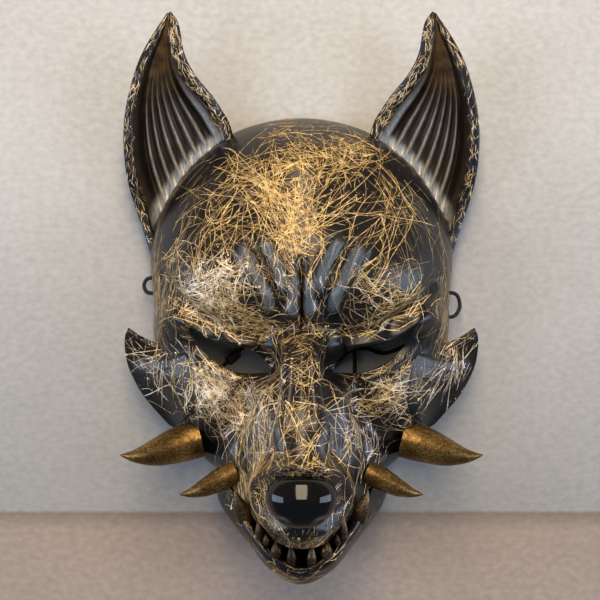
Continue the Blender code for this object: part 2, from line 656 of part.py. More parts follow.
def jaw_points():
    table = np.array(JAW_COLUMNS) * (HALF_WIDTH, LENGTH, DEPTH)
    table = np.concatenate([table[1:2] * (-1, 1, 1), table])
    fine = between_rows(table, np.linspace(1, len(table) - 1, 6 * JAW_COLUMNS_MADE + 1))
    lines = []
    for profile in fine:
        line = smooth_line(profile, 40)
        lines.append(even_steps(line, JAW_ROWS_MADE + 1))
    lines = np.stack(lines)
    steps = np.linalg.norm(np.diff(lines, axis=0), axis=2).mean(axis=1)
    far = np.concatenate(([0.0], np.cumsum(steps)))
    place = np.interp(np.linspace(0, far[-1], JAW_COLUMNS_MADE + 1), far, np.arange(len(lines)))
    grid = between_rows(lines, place).transpose(1, 0, 2)
    grid[:, 0, 0] = 0
    foot = grid[-1:].copy()
    foot[..., 2] = -2 * JAW_WALL
    return np.concatenate([grid, foot], axis=0)[::-1]


def make_jaw(parts, cutters, parent, paint):
    jaw = new_object("lower_jaw", sheet_mesh("lower_jaw", jaw_points()), parts, parent, paint)
    mirror_in_x(jaw)
    thicken(jaw, JAW_WALL)
    blank = new_cutter("jaw_blank", jaw.data.copy(), cutters, parent)
    mirror_in_x(blank)
    thicken(blank, JAW_WALL)
    grown = blank.modifiers.new("clearance", "DISPLACE")
    grown.strength = TOOTH_GAP
    grown.mid_level = 0
    return jaw, blank


def ear_points():
    table = np.array(EAR_ROWS)
    rows = between_rows(table, np.linspace(0, len(table) - 1, EAR_ROWS_MADE))
    foot = np.array((EAR_FOOT[0] * HALF_WIDTH, EAR_FOOT[1] * LENGTH))
    size = np.array((EAR_WIDTH, EAR_HEIGHT))
    outer_x, outer_y, inner_x, inner_y, hollow, lift = rows.T
    outer = np.column_stack([foot + np.column_stack([outer_x, outer_y]) * size, lift * EAR_LIFT])
    inner = np.column_stack([foot + np.column_stack([inner_x, inner_y]) * size, lift * EAR_LIFT])
    width = np.linalg.norm(inner - outer, axis=1)[:, None]
    band = np.minimum(EAR_RIM / width, 0.40)
    band_spread = np.linspace(0, EAR_BAND_SPREAD, EAR_BAND_COLUMNS + 1)
    flute_spread = np.linspace(FLUTES_START, 1 - FLUTES_START, FLUTES * FLUTE_COLUMNS + 1)
    spread = np.concatenate((band_spread, flute_spread, 1 - band_spread[::-1]))[None, :]
    edge = np.minimum(spread, 1 - spread)
    inside = (edge - EAR_BAND_SPREAD) / (0.5 - EAR_BAND_SPREAD)
    share = np.where(inside < 0, edge / EAR_BAND_SPREAD * band, band + inside * (0.5 - band))
    share = np.where(spread > 0.5, 1 - share, share)
    recess = hollow[:, None] * EAR_RECESS
    bowl = smooth_step((edge - 0.9 * EAR_BAND_SPREAD) / (0.5 * EAR_BAND_SPREAD))
    flute = np.clip((spread - FLUTES_START) / (1 - 2 * FLUTES_START), 0, 1)
    groove = np.sin(math.pi * FLUTES * flute) ** 2
    height = np.linspace(0, 1, len(rows))[:, None]
    fade = smooth_step((height - 0.06) / 0.10) * smooth_step((0.80 - height) / 0.30)
    front = outer[:, None] * (1 - share[..., None]) + inner[:, None] * share[..., None]
    back = front.copy()
    crest = EAR_CREST * np.sin(math.pi * np.clip(edge / EAR_BAND_SPREAD, 0, 1))
    front[..., 2] += crest - recess * bowl - FLUTE_DEPTH * groove * fade
    back[..., 2] -= EAR_WALL + (recess + FLUTE_DEPTH) * smooth_step(edge / EAR_BAND_SPREAD)
    return front, back


def make_ear(name, side, parts, parent, blank, paint):
    front, back = ear_points()
    ear = new_object(name, slab_mesh(name, mirrored(front, side), mirrored(back, side)), parts, parent, paint)
    cut(ear, blank)
    return ear


def make_nose(parts, parent, blank, paint):
    mesh = bpy.data.meshes.new("nose_pad")
    bm = bmesh.new()
    bmesh.ops.create_uvsphere(bm, u_segments=NOSE_SEGMENTS, v_segments=12, radius=1)
    middle = face_point(*NOSE_PLACE)
    half_step = math.pi / NOSE_SEGMENTS
    for vertex in bm.verts:
        x = vertex.co.x * math.cos(half_step) - vertex.co.y * math.sin(half_step)
        y = vertex.co.x * math.sin(half_step) + vertex.co.y * math.cos(half_step)
        z = vertex.co.z
        # wider above the middle than below it, and squarer than a ball
        width = 1.0 + 0.14 * y - 0.10 * y * y
        across = math.copysign(abs(x) ** 0.85, x) * width
        along = math.copysign(abs(y) ** 0.9, y)
        off_x = (abs(x) - NOSTRIL_PLACE[0]) / NOSTRIL_SIZE[0]
        off_y = (y - NOSTRIL_PLACE[1]) / NOSTRIL_SIZE[1]
        dent = math.exp(-off_x * off_x - off_y * off_y)
        out = z * NOSE_DEPTH - (NOSTRIL_DEPTH * dent if z > 0 else 0.0)
        vertex.co = (across * NOSE_WIDTH / 2, along * NOSE_HEIGHT / 2, out)
    tilt = math.radians(NOSE_TILT)
    for vertex in bm.verts:
        y, z = vertex.co.y, vertex.co.z
        vertex.co.y = middle[1] + y * math.cos(tilt) + z * math.sin(tilt)
        vertex.co.z = middle[2] - y * math.sin(tilt) + z * math.cos(tilt)
    bm.to_mesh(mesh)
    bm.free()
    mesh.shade_smooth()
    nose = new_object("nose_pad", mesh, parts, parent, paint)
    cut(nose, blank)
    return nose


def make_horn(name, side, root, bend, taper, reach, radius, seat, parts, parent, paint):
    line = face_point(*root) + np.array(bend) * reach
    radii = [share * radius for share in taper]
    sides_setting, count = (3, 10) if reach > 0.025 else (1, 6)
    mesh = horn_mesh(name, mirrored(line, side), radii, sides_setting, count)
    horn = new_object(name, mesh, parts, parent, paint)
    for cutter in seat:
        cut(horn, cutter)
    return horn


def make_cord(parts, parent, paint):
    route = np.array(CORD_ROUTE)
    gaps = np.linalg.norm(np.diff(route, axis=0), axis=1)
    counts = np.maximum(np.round(gaps / CORD_STEP).astype(int), 1)
    starts = [number + np.arange(count) / count for number, count in enumerate(counts)]
    line = between_rows(route, np.append(np.concatenate(starts), len(route) - 1.0))
    line[:, 2] = np.maximum(line[:, 2], CORD_DIAMETER / 2 + SEAT_GAP)
    curve = bpy.data.curves.new("elastic_cord", "CURVE")
    curve.dimensions = "3D"
    curve.bevel_depth = CORD_DIAMETER / 2
    curve.bevel_resolution = 2
    curve.use_fill_caps = True
    spline = curve.splines.new("POLY")
    spline.points.add(len(line) - 1)
    for point, place in zip(spline.points, line):
        point.co = (*place, 1.0)
    curve.materials.append(paint)
    cord = bpy.data.objects.new("elastic_cord", curve)
    parts.objects.link(cord)
    cord.parent = parent
    return cord


def make_lock(parts, parent, paint):
    half = Vector((LOCK_LENGTH, LOCK_WIDTH, LOCK_THICKNESS)) / 2
    lock = new_object("cord_lock", box_mesh("cord_lock", -half, half), parts, parent, paint)
    lock.location = LOCK_PLACE
    lock.rotation_euler = (0, 0, math.radians(LOCK_TURN))
    bevel = lock.modifiers.new("round", "BEVEL")
    bevel.width = LOCK_EDGE
    bevel.segments = 2
    return lock


# Moves the whole mask so that its box, without the cord, stands centred on the origin
def centre_mask(parts, parent, loose):
    bpy.context.view_layer.update()
    graph = bpy.context.evaluated_depsgraph_get()
    corners = []
    for thing in parts.objects:
        if thing not in loose:
            shape = thing.evaluated_get(graph)
            corners += [shape.matrix_world @ Vector(corner) for corner in shape.bound_box]
    low_y, high_y = min(c.y for c in corners), max(c.y for c in corners)
    parent.location.y = -(low_y + high_y) / 2


def main():
    clear_scene()
    parts = new_collection("fox_mask")
    cutters = new_collection("cutters")
    parent = bpy.data.objects.new("mask", None)
    parts.objects.link(parent)

    black = new_paint("satin black paint", (0.012, 0.012, 0.014), 0.38, 0.0)
    bronze = new_paint("antique bronze paint", (0.19, 0.11, 0.035), 0.42, 0.6)
    brown = new_paint("dark brown ear paint", (0.040, 0.024, 0.014), 0.45, 0.1)
    olive = new_paint("olive bronze tooth paint", (0.13, 0.10, 0.05), 0.45, 0.4)
    gloss = new_paint("gloss black", (0.004, 0.004, 0.005), 0.08, 0.0)
    elastic = new_paint("black elastic", (0.010, 0.010, 0.011), 0.80, 0.0)

    blank = make_face_blank(cutters, parent)
    floor = new_cutter(
        "below_the_rim",
        box_mesh("below_the_rim", (-2 * HALF_WIDTH, -LENGTH, -0.4 * DEPTH), (2 * HALF_WIDTH, LENGTH, 0)),
        cutters, parent,
    )
    face = make_face(parts, cutters, parent, black)
    jaw, jaw_blank = make_jaw(parts, cutters, parent, black)
    for cutter in [floor, *make_eye_cutters(cutters, parent), *make_hole_cutters(cutters, parent)]:
        cut(face, cutter)
    cut(jaw, floor)
    above_jaw = new_cutter("above_the_jaw", blank.data.copy(), cutters, parent)
    above_jaw.location.y = -JAW_GAP
    cut(jaw, above_jaw)
    make_nose(parts, parent, blank, gloss)
    for side, word in ((-1, "left"), (1, "right")):
        make_ear(f"ear_{word}", side, parts, parent, blank, brown)
        make_horn(f"upper_tusk_{word}", side, UPPER_TUSK_ROOT, UPPER_TUSK_BEND, UPPER_TUSK_TAPER,
                  UPPER_TUSK_REACH, UPPER_TUSK_RADIUS, [blank], parts, parent, bronze)
        make_horn(f"lower_tusk_{word}", side, LOWER_TUSK_ROOT, LOWER_TUSK_BEND, LOWER_TUSK_TAPER,
                  LOWER_TUSK_REACH, LOWER_TUSK_RADIUS, [blank, above_jaw], parts, parent, bronze)
        make_horn(f"jaw_fang_{word}", side, FANG_ROOT, FANG_BEND, FANG_TAPER,
                  FANG_HEIGHT, FANG_RADIUS, [jaw_blank], parts, parent, olive)
        for number, (across, along, out, width, height) in enumerate(TEETH):
            make_horn(f"jaw_tooth_{word}_{number + 1}", side, (across, along, out), TOOTH_BEND, TOOTH_TAPER,
                      TOOTH_HEIGHT * height, TOOTH_RADIUS * width, [jaw_blank], parts, parent, olive)
    cord = make_cord(parts, parent, elastic)
    lock = make_lock(parts, parent, elastic)
    centre_mask(parts, parent, (cord, lock, parent))


main()
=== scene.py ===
# Looks of a demon fox mask: the fine relief of the face, jaw and ears, the gold drizzled over
# satin black, the bronze tusks, the lacquered nose and the elastic cord.
import json
import math
import random
from functools import partial

import bmesh
import bpy
import numpy as np
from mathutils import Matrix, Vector
from mathutils.bvhtree import BVHTree

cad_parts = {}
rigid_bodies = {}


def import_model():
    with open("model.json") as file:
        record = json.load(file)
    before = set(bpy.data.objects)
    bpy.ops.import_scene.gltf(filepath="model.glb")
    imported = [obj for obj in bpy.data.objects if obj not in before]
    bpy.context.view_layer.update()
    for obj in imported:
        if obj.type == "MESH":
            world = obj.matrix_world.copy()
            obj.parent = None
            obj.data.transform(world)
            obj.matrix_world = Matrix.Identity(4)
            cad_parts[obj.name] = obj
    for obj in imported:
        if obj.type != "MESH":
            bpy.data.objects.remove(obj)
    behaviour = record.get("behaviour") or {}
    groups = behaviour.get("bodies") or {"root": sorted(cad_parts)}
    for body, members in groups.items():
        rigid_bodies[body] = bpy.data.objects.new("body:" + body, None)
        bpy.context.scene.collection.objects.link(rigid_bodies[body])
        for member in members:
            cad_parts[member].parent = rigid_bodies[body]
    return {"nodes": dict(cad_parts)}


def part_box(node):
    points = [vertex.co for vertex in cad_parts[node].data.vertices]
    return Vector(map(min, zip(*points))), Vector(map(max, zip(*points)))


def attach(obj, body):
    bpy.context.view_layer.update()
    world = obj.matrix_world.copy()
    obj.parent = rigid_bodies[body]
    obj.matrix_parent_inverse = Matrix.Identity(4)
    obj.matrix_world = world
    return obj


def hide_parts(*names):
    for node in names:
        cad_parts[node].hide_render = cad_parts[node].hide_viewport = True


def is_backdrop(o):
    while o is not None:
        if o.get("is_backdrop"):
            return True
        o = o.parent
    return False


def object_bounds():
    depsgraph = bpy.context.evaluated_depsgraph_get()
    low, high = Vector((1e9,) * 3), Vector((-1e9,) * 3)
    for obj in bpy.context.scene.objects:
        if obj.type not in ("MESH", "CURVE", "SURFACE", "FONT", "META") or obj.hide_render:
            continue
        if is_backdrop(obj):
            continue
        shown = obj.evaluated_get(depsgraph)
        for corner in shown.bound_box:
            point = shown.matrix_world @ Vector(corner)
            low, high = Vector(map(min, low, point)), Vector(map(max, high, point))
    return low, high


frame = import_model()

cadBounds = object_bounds()
scene = bpy.context.scene

# The measures of the mask, in metres, as in the model it is dressed around
mask = {
    "halfWidth": 0.100,
    "length": 0.300,
    "depth": 0.122,
    "wall": 0.003,
}
size = np.array((mask["halfWidth"], mask["length"], mask["depth"]))
lockPlace = (-0.0450, -0.0395, 0.0026)  # the cord's lock, before the mask was centred
lockLow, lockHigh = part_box("cord_lock")
shift = np.array((0.0, (lockLow.y + lockHigh.y) / 2 - lockPlace[1], 0.0))


def linear(hexColour):
    channels = [int(hexColour[start:start + 2], 16) / 255 for start in (1, 3, 5)]
    return [c / 12.92 if c <= 0.04045 else ((c + 0.055) / 1.055) ** 2.4 for c in channels] + [1.0]


# Sets sockets: the output of another node is linked, and anything else is set directly
def setSockets(tree, node, sockets):
    for name, value in sockets.items():
        if isinstance(value, bpy.types.NodeSocket):
            tree.links.new(value, node.inputs[name])
        else:
            node.inputs[name].default_value = value


# Adds one node with its sockets, the stops of a ramp and its settings, and gives one of its outputs
def addNode(tree, kind, sockets=None, stops=(), output=0, **settings):
    node = tree.nodes.new("ShaderNode" + kind)
    for name, setting in settings.items():
        setattr(node, name, setting)
    setSockets(tree, node, sockets or {})
    if stops:
        elements = node.color_ramp.elements
        while len(elements) < len(stops):
            elements.new(1.0)
        for element, (place, colour) in zip(elements, stops):
            element.position = place
            element.color = linear(colour)
    return node.outputs[output]


# A material, what adds its nodes and what sets the sockets of its surface
def newFinish(name):
    finish = bpy.data.materials.new(name)
    finish.use_nodes = True
    tree = finish.node_tree
    return finish, partial(addNode, tree), partial(setSockets, tree, tree.nodes["Principled BSDF"])


# A material with one fine grain in its colour, which 'bump' also raises: strength and height
def grainedFinish(name, scale, detail, stops, bump, sockets):
    finish, add, dress = newFinish(name)
    grain = add("TexNoise", {"Scale": scale, "Detail": detail, "Vector": add("TexCoord", output="Object")})
    dress({"Base Color": add("ValToRGB", {0: grain}, stops), **sockets})
    if bump:
        dress({"Normal": add("Bump", {"Strength": bump[0], "Distance": bump[1], "Height": grain})})
    return finish


# Smooth values between the rows of a table, where 'place' counts in rows
def betweenRows(table, place):
    last = len(table) - 1
    start = np.clip(np.floor(place).astype(int), 0, last - 1)
    part = (place - start).reshape((-1,) + (1,) * (table.ndim - 1))
    before = table[np.maximum(start - 1, 0)]
    here = table[start]
    after = table[start + 1]
    beyond = table[np.minimum(start + 2, last)]
    curve = 2 * before - 5 * here + 4 * after - beyond
    turn = 3 * (here - after) + beyond - before
    return here + 0.5 * part * (after - before + part * (curve + part * turn))


def smoothLine(points, count):
    return betweenRows(np.array(points, float), np.linspace(0, len(points) - 1, count))


def smoothStep(value):
    value = np.clip(value, 0.0, 1.0)
    return value * value * (3 - 2 * value)


def stepsOf(line):
    return np.linalg.norm(np.diff(line, axis=0), axis=-1)


# How far along a line each of its points lies
def farAlong(steps):
    return np.concatenate(([0.0], np.cumsum(steps)))


# The lines of a grid, spread again at even distances from each other
def evenRows(lines, count):
    far = farAlong(stepsOf(lines).mean(axis=1))
    return betweenRows(lines, np.interp(np.linspace(0, far[-1], count), far, np.arange(len(lines))))


def evenSteps(line, count):
    far = farAlong(stepsOf(line))
    wanted = np.linspace(0, far[-1], count)
    return np.stack([np.interp(wanted, far, line[:, axis]) for axis in range(3)], axis=1)


def gridNormals(grid):
    normals = np.cross(np.gradient(grid, axis=1), np.gradient(grid, axis=0))
    return normals / np.maximum(np.linalg.norm(normals, axis=2, keepdims=True), 1e-12)


def mirrored(points, side):
    return np.asarray(points, float) * (side, 1, 1)


# A point on the face from its shares across, along and out
def facePoint(across, along, out):
    return np.array((across, along, out)) * size


# A mesh from a grid of points; 'wrap' joins its last column to its first
def gridMesh(name, grid, wrap=False):
    rows, columns = grid.shape[:2]
    number = np.arange(rows * columns).reshape(rows, columns)
    if wrap:
        number = np.concatenate([number, number[:, :1]], axis=1)
    corners = [number[:-1, :-1], number[:-1, 1:], number[1:, 1:], number[1:, :-1]]
    faces = np.stack(corners, axis=-1).reshape(-1, 4)
    mesh = bpy.data.meshes.new(name)
    mesh.from_pydata((grid.reshape(-1, 3) + shift).tolist(), [], faces.tolist())
    mesh.shade_smooth()
    return mesh


def addObject(name, data):
    thing = bpy.data.objects.new(name, data)
    scene.collection.objects.link(thing)
    return thing


def newPiece(name, mesh, finish, slot, *nodes):
    piece = addObject(name, mesh)
    mesh.materials.append(finish)
    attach(piece, "root")
    if nodes:
        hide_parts(*nodes)
    return piece


# Shades a mesh smooth, but for edges sharper than an angle in degrees
def smoothTo(mesh, angle):
    mesh.shade_smooth()
    mesh.set_sharp_from_angle(angle=math.radians(angle))


# Gives a sheet its wall, inwards
def thicken(piece, thickness):
    wall = piece.modifiers.new("wall", "SOLIDIFY")
    wall.thickness = thickness
    wall.offset = -1


# Turns a piece's modifiers into its mesh
def settle(piece):
    graph = bpy.context.evaluated_depsgraph_get()
    mesh = bpy.data.meshes.new_from_object(piece.evaluated_get(graph))
    piece.modifiers.clear()
    piece.data = mesh


# Cuts a piece by closed meshes, all at once
def carve(piece, cutters):
    group = bpy.data.collections.new(piece.name + "Cutters")
    for number, mesh in enumerate(cutters):
        group.objects.link(bpy.data.objects.new(f"{piece.name}Cutter{number}", mesh))
    scene.collection.children.link(group)
    modifier = piece.modifiers.new("carve", "BOOLEAN")
    modifier.operand_type = "COLLECTION"
    modifier.collection = group
    settle(piece)
    for cutter in list(group.objects):
        bpy.data.objects.remove(cutter, do_unlink=True)
    bpy.data.collections.remove(group)


# Writes a bmesh into a mesh
def pour(bm, mesh):
    bm.to_mesh(mesh)
    bm.free()
    return mesh


# Joins points closer than 'weld', fills the open edges of a mesh and turns its faces outwards
def closeUp(mesh, weld=0.0):
    bm = bmesh.new()
    bm.from_mesh(mesh)
    if weld:
        bmesh.ops.remove_doubles(bm, verts=bm.verts, dist=weld)
    bmesh.ops.holes_fill(bm, edges=[edge for edge in bm.edges if edge.is_boundary])
    if weld:
        bmesh.ops.triangulate(bm, faces=[part for part in bm.faces if len(part.verts) > 4])
    bmesh.ops.recalc_face_normals(bm, faces=bm.faces)
    return pour(bm, mesh)


def boxMesh(name, low, high):
    bm = bmesh.new()
    bmesh.ops.create_cube(bm, size=1)
    low, high = Vector(low), Vector(high)
    for vertex in bm.verts:
        middle = (low + high) / 2
        vertex.co = [middle[i] + vertex.co[i] * (high[i] - low[i]) for i in range(3)]
    return pour(bm, bpy.data.meshes.new(name))


def treeOf(*pieces):
    points, faces = [], []
    for piece in pieces:
        start = len(points)
        points += [vertex.co.copy() for vertex in piece.data.vertices]
        faces += [[start + number for number in face.vertices] for face in piece.data.polygons]
    return BVHTree.FromPolygons(points, faces)


# Writes a value for each point of a mesh, which its material reads by name
def paintValue(mesh, name, values):
    layer = mesh.attributes.new(name, "FLOAT", "POINT")
    layer.data.foreach_set("value", np.asarray(values, np.float32).ravel())


# The camera looks straight at the face, as the photographer did, with the mask lying on its back
view = {
    "distance": 0.95,
    "lens": 36 * 1439 / 600,  # mm, for 1439 pixels of focal length in a 600 pixel frame
    "offMiddle": (-1.5 / 600, -3 / 600),
}
camera = addObject("camera", bpy.data.cameras.new("camera"))
camera.location = (0, shift[1], view["distance"])
camera.data.lens = view["lens"]
camera.data.shift_x, camera.data.shift_y = view["offMiddle"]
scene.camera = camera


# Elastic cord: braided polyester over rubber, dull black with a fine woven skin
cord = {
    "diameter": 0.0026,
    "sides": 12,
    "pitch": 0.0060,  # one turn of the braid's strands
    "strands": 8,
    "clear": 0.0003,  # over the table
    # in tenths of a millimetre
    "route": (
        (-491, -429, 26), (-560, -485, 15), (-650, -500, 15), (-740, -430, 15), (-800, -300, 15),
        (-835, -150, 30), (-865, -40, 90), (-910, 22, 136), (-985, 25, 140), (-1012, 40, 140),
        (-1024, 74, 140), (-1012, 108, 140), (-985, 123, 140), (-910, 122, 134), (-850, 100, 50),
        (-770, 40, 15), (-560, -60, 15), (-320, -80, 15), (-120, -120, 15), (-30, -270, 15), (50, -420, 15),
        (150, -470, 16), (240, -415, 36), (340, -345, 46), (430, -340, 34), (540, -370, 16),
        (660, -330, 15), (770, -270, 15), (840, -190, 60), (900, -132, 136), (975, -130, 140),
        (1010, -108, 140), (1030, -58, 140), (1018, 0, 140), (985, 26, 140), (910, 26, 134), (845, 10, 50),
        (760, -50, 15), (600, -100, 15), (450, -130, 15), (365, -220, 15), (350, -350, 15), (350, -500, 15),
        (320, -620, 15), (220, -730, 15), (50, -770, 15), (-80, -680, 15), (-140, -520, 15),
        (-165, -350, 15), (-230, -240, 15), (-320, -270, 18), (-409, -361, 26),
    ),
}


# Rings of points square to a line, each ring 'sides' points round
def ringsAlong(line, radii, sides):
    heading = np.gradient(line, axis=0)
    heading /= np.linalg.norm(heading, axis=1, keepdims=True)
    up = np.cross(heading[0], (0.3, 0.2, 0.9))
    rings = []
    for place, way, radius in zip(line, heading, radii):
        up = up - way * np.dot(up, way)
        up /= np.linalg.norm(up)
        aside = np.cross(way, up)
        angle = np.linspace(0, 2 * math.pi, sides, endpoint=False)[:, None]
        rings.append(place + radius * (np.cos(angle) * up + np.sin(angle) * aside))
    return np.stack(rings)


# A closed mesh from rings, with a face over each end
def ringMesh(name, rings):
    mesh = closeUp(gridMesh(name, rings, wrap=True))
    smoothTo(mesh, 60)
    return mesh


def braidedElastic():
    finish, add, dress = newFinish("braidedBlackElastic")
    along, around = (add("Attribute", output="Fac", attribute_name=name) for name in ("along", "round"))
    turns = add("Math", {0: along, 1: 1 / cord["pitch"]}, operation="MULTIPLY")
    waves = []
    for way in ("ADD", "SUBTRACT"):  # the strands run both ways round
        phase = add("Math", {0: turns, 1: around}, operation=way)
        angle = add("Math", {0: phase, 1: cord["strands"] * math.pi}, operation="MULTIPLY")
        waves.append(add("Math", {0: angle}, operation="SINE"))
    weave = add("Math", {0: waves[0], 1: waves[1]}, operation="MULTIPLY")
    dress({
        "Base Color": add("ValToRGB", {0: weave}, ((0.0, "#0b0b0c"), (0.7, "#1b1b1d"))),
        "Normal": add("Bump", {"Strength": 0.6, "Distance": 0.0002, "Height": weave}),
        "Roughness": 0.72,
        "Sheen Weight": 0.15,
    })
    return finish


def makeCord():
    route, sides, radius = np.array(cord["route"]) / 10000, cord["sides"], cord["diameter"] / 2
    line = smoothLine(route, 8 * (len(route) - 1) + 1)
    line[:, 2] = np.maximum(line[:, 2], radius + cord["clear"])
    mesh = ringMesh("elasticCord", ringsAlong(line, [radius] * len(line), sides))
    far = farAlong(stepsOf(line))
    paintValue(mesh, "along", np.repeat(far, sides))
    paintValue(mesh, "round", np.tile(np.arange(sides) / sides, len(line)))
    piece = newPiece("elasticCord", mesh, braidedElastic(), "black_elastic", "elastic_cord")
    path = line + shift
    tuple(path[0])
    print("cord", round(float(far[-1]), 4), "m")


# Face: cast resin about 3 mm thick. Each row runs from the back rim to the middle of the face,
# in thousandths of the half width, the length and the depth.
face = {
    "rowsMade": 210,
    "columnsMade": 104,
    "fillerRows": 96,
    "fillerColumns": 44,
    "mouthCorner": 0.42,
    "eyePoints": 96,
    "strokeEnds": 0.22,
    "ridgeSquare": 4,  # how square the ridges between the brows are
    "columns": ("rimX", "rimY", "midY", "midZ", "cheekZ", "muzzle", "full", "sag", "hook"),
    "rows": (
        (540, -372, -493, 850, 660, 340, 1600, 2500, 1000),
        (570, -366, -437, 930, 640, 360, 1750, 2000, 700),
        (630, -352, -353, 1000, 610, 380, 2000, 1500, 200),
        (770, -307, -280, 945, 540, 400, 2300, 1000, 0),
        (860, -227, -200, 860, 500, 360, 2500, 1000, 0),
        (920, -153, -130, 780, 480, 290, 2600, 1000, 0),
        (945, -90, -83, 695, 500, 250, 2600, 1000, 0),
        (955, -27, -40, 650, 570, 240, 2400, 1000, 0),
        (970, 27, 17, 672, 640, 300, 2300, 1000, 0),
        (990, 93, 93, 664, 650, 400, 2200, 1000, 0),
        (960, 153, 173, 615, 610, 400, 2150, 1100, 0),
        (870, 217, 250, 530, 530, 400, 2100, 1300, 0),
        (740, 280, 310, 415, 410, 400, 2050, 1600, 0),
        (600, 323, 353, 270, 270, 400, 2000, 1800, 0),
        (480, 353, 383, 110, 110, 400, 2000, 2000, 0),
        (420, 365, 392, 0, 0, 400, 2000, 2000, 0),
    ),
    # height, and the fall-off left and right of the path, in thousandths of the depth, then how
    # square the profile is and the path
    "strokes": (
        # brow over the eye
        (85, 170, 45, 2, ((780, 10), (680, -45), (550, -77), (400, -87), (260, -100), (190, -118))),
        # hollow of the eye
        (-75, 75, 100, 2, ((800, -40), (620, -98), (420, -128), (250, -140), (170, -165))),
        # lower lid
        (28, 30, 40, 2, ((780, -55), (660, -112), (530, -148), (400, -170), (250, -172))),
        # outer ridge beside the brow
        (31, 37, 37, 4, ((410, 120), (320, 80), (260, 38), (206, 0), (178, -57))),
        # inner ridge
        (29, 33, 33, 4, ((270, 125), (200, 98), (145, 65), (118, 35), (103, -10))),
        # short ridge beside the middle crease
        (27, 34, 30, 4, ((40, 50), (42, 20), (44, -15), (50, -52))),
        # furrows between the ridges
        (-20, 26, 26, 2, ((320, 128), (245, 80), (190, 40), (155, 0), (142, -55))),
        (-16, 22, 22, 2, ((160, 100), (105, 60), (82, 20), (82, -30))),
        # middle crease and the notch at its foot
        (-30, 14, 14, 2, ((0, 85), (0, 40), (0, 0), (0, -50))),
        (-45, 50, 40, 2, ((150, -70), (90, -62), (0, -52))),
        # fold from the temple to the outer brow
        (-40, 40, 35, 2, ((900, 60), (770, 12), (600, -35), (470, -65))),
        # edge of the bridge and the groove beside it
        (32, 30, 45, 3, ((100, -85), (78, -150), (110, -225), (190, -300))),
        (-56, 24, 24, 2, ((160, -130), (150, -200), (195, -270), (235, -345))),
        # ridge from the eye's inner corner down the side of the muzzle
        (36, 42, 32, 3, ((225, -165), (250, -230), (300, -300), (330, -365))),
        # channel from the cheek to the upper tusk
        (-50, 60, 60, 2, ((300, -195), (420, -250), (540, -300), (660, -335))),
        # roll of skin round the nose
        (34, 20, 30, 2,
         ((0, -452), (110, -449), (200, -426), (235, -395), (215, -362), (130, -338), (0, -330))),
        # roll of the upper lip
        (22, 35, 35, 2, ((500, -375), (380, -405), (220, -450), (0, -468))),
    ),
    # height in shares of the depth, middle, half sizes, turn in degrees and how flat the top is
    "swells": (
        (0.060, 0.47, 0.020, 0.36, 0.105, -22.0, 1.3),
        (0.035, 0.66, -0.200, 0.24, 0.080, -35.0, 1.2),
        (0.028, 0.00, 0.220, 0.30, 0.120, 0.0, 1.0),
        (-0.018, 0.34, 0.170, 0.20, 0.070, 35.0, 1.0),
        (0.032, 0.25, -0.390, 0.15, 0.060, -40.0, 1.2),
    ),
    "eyeOutline": (
        (700, -60), (630, -75), (560, -89), (480, -98), (400, -102), (340, -105), (280, -115), (235, -128),
        (205, -145), (200, -157), (260, -158), (330, -159), (400, -156), (460, -148), (520, -138),
        (580, -123), (635, -104), (680, -81),
    ),
    "temple": 0.96 * mask["halfWidth"],  # where the holes for the cord run
    "cordHole": 0.0040,
    "cordHoleHeight": 0.014,
    "leftHolesY": (0.0123, 0.0025),
    "rightHolesY": (0.0026, -0.0130),
}

fin = {
    "rows": (
        (1085, -70, 1105, -66, 225),
        (1030, -83, 1128, -80, 215),
        (930, -98, 1134, -105, 205),
        (760, -110, 1118, -140, 200),
        (700, -135, 1075, -175, 195),
        (680, -165, 1015, -210, 190),
        (670, -195, 945, -238, 190),
        (665, -220, 890, -258, 190),
        (670, -235, 850, -272, 195),
        (680, -245, 815, -278, 205),
    ),
    "freeRows": 3,  # rows at the hook that don't reach the cheek
    "easeRows": 1.2,  # rows over which they come down to it
    "arrive": 0.25,  # how much of its slope a row keeps at the free edge
    "hookRise": 0.0015,
    "proud": 0.00004,  # over the cheek
    "wall": 0.003,
    "edge": 0.0016,
    "clings": 0.30,  # share of each row that lies on the cheek
    "rowsMade": 70,
    "columnsMade": 30,
}


def plainFace(rows, columns):
    table = np.array(face["rows"]) / 1000
    fineRows, fineColumns = 8 * (len(table) - 1) + 1, 4 * columns
    values = smoothLine(table, fineRows)
    column = dict(zip(face["columns"], values.T[:, :, None]))
    angle = np.linspace(math.pi / 2, 0, fineColumns)[None, :]
    reach = np.cos(angle) ** (2 / column["full"])
    rise = np.sin(angle) ** (2 / column["full"])
    x = column["rimX"] * reach
    swell = np.cos(math.pi / 2 * np.clip(x / column["muzzle"], 0, 1) ** 1.3) ** 2
    z = column["cheekZ"] * rise + (column["midZ"] - column["cheekZ"]) * swell
    turn = smoothStep((rise - face["mouthCorner"]) / (1 - face["mouthCorner"]))
    leave = rise ** column["sag"] + (turn - rise ** column["sag"]) * column["hook"]
    y = column["rimY"] + (column["midY"] - column["rimY"]) * leave
    fine = np.stack([x, y, z], axis=2) * size
    fine = np.stack([evenSteps(line, columns + 1) for line in fine])
    return evenRows(fine, rows + 1)


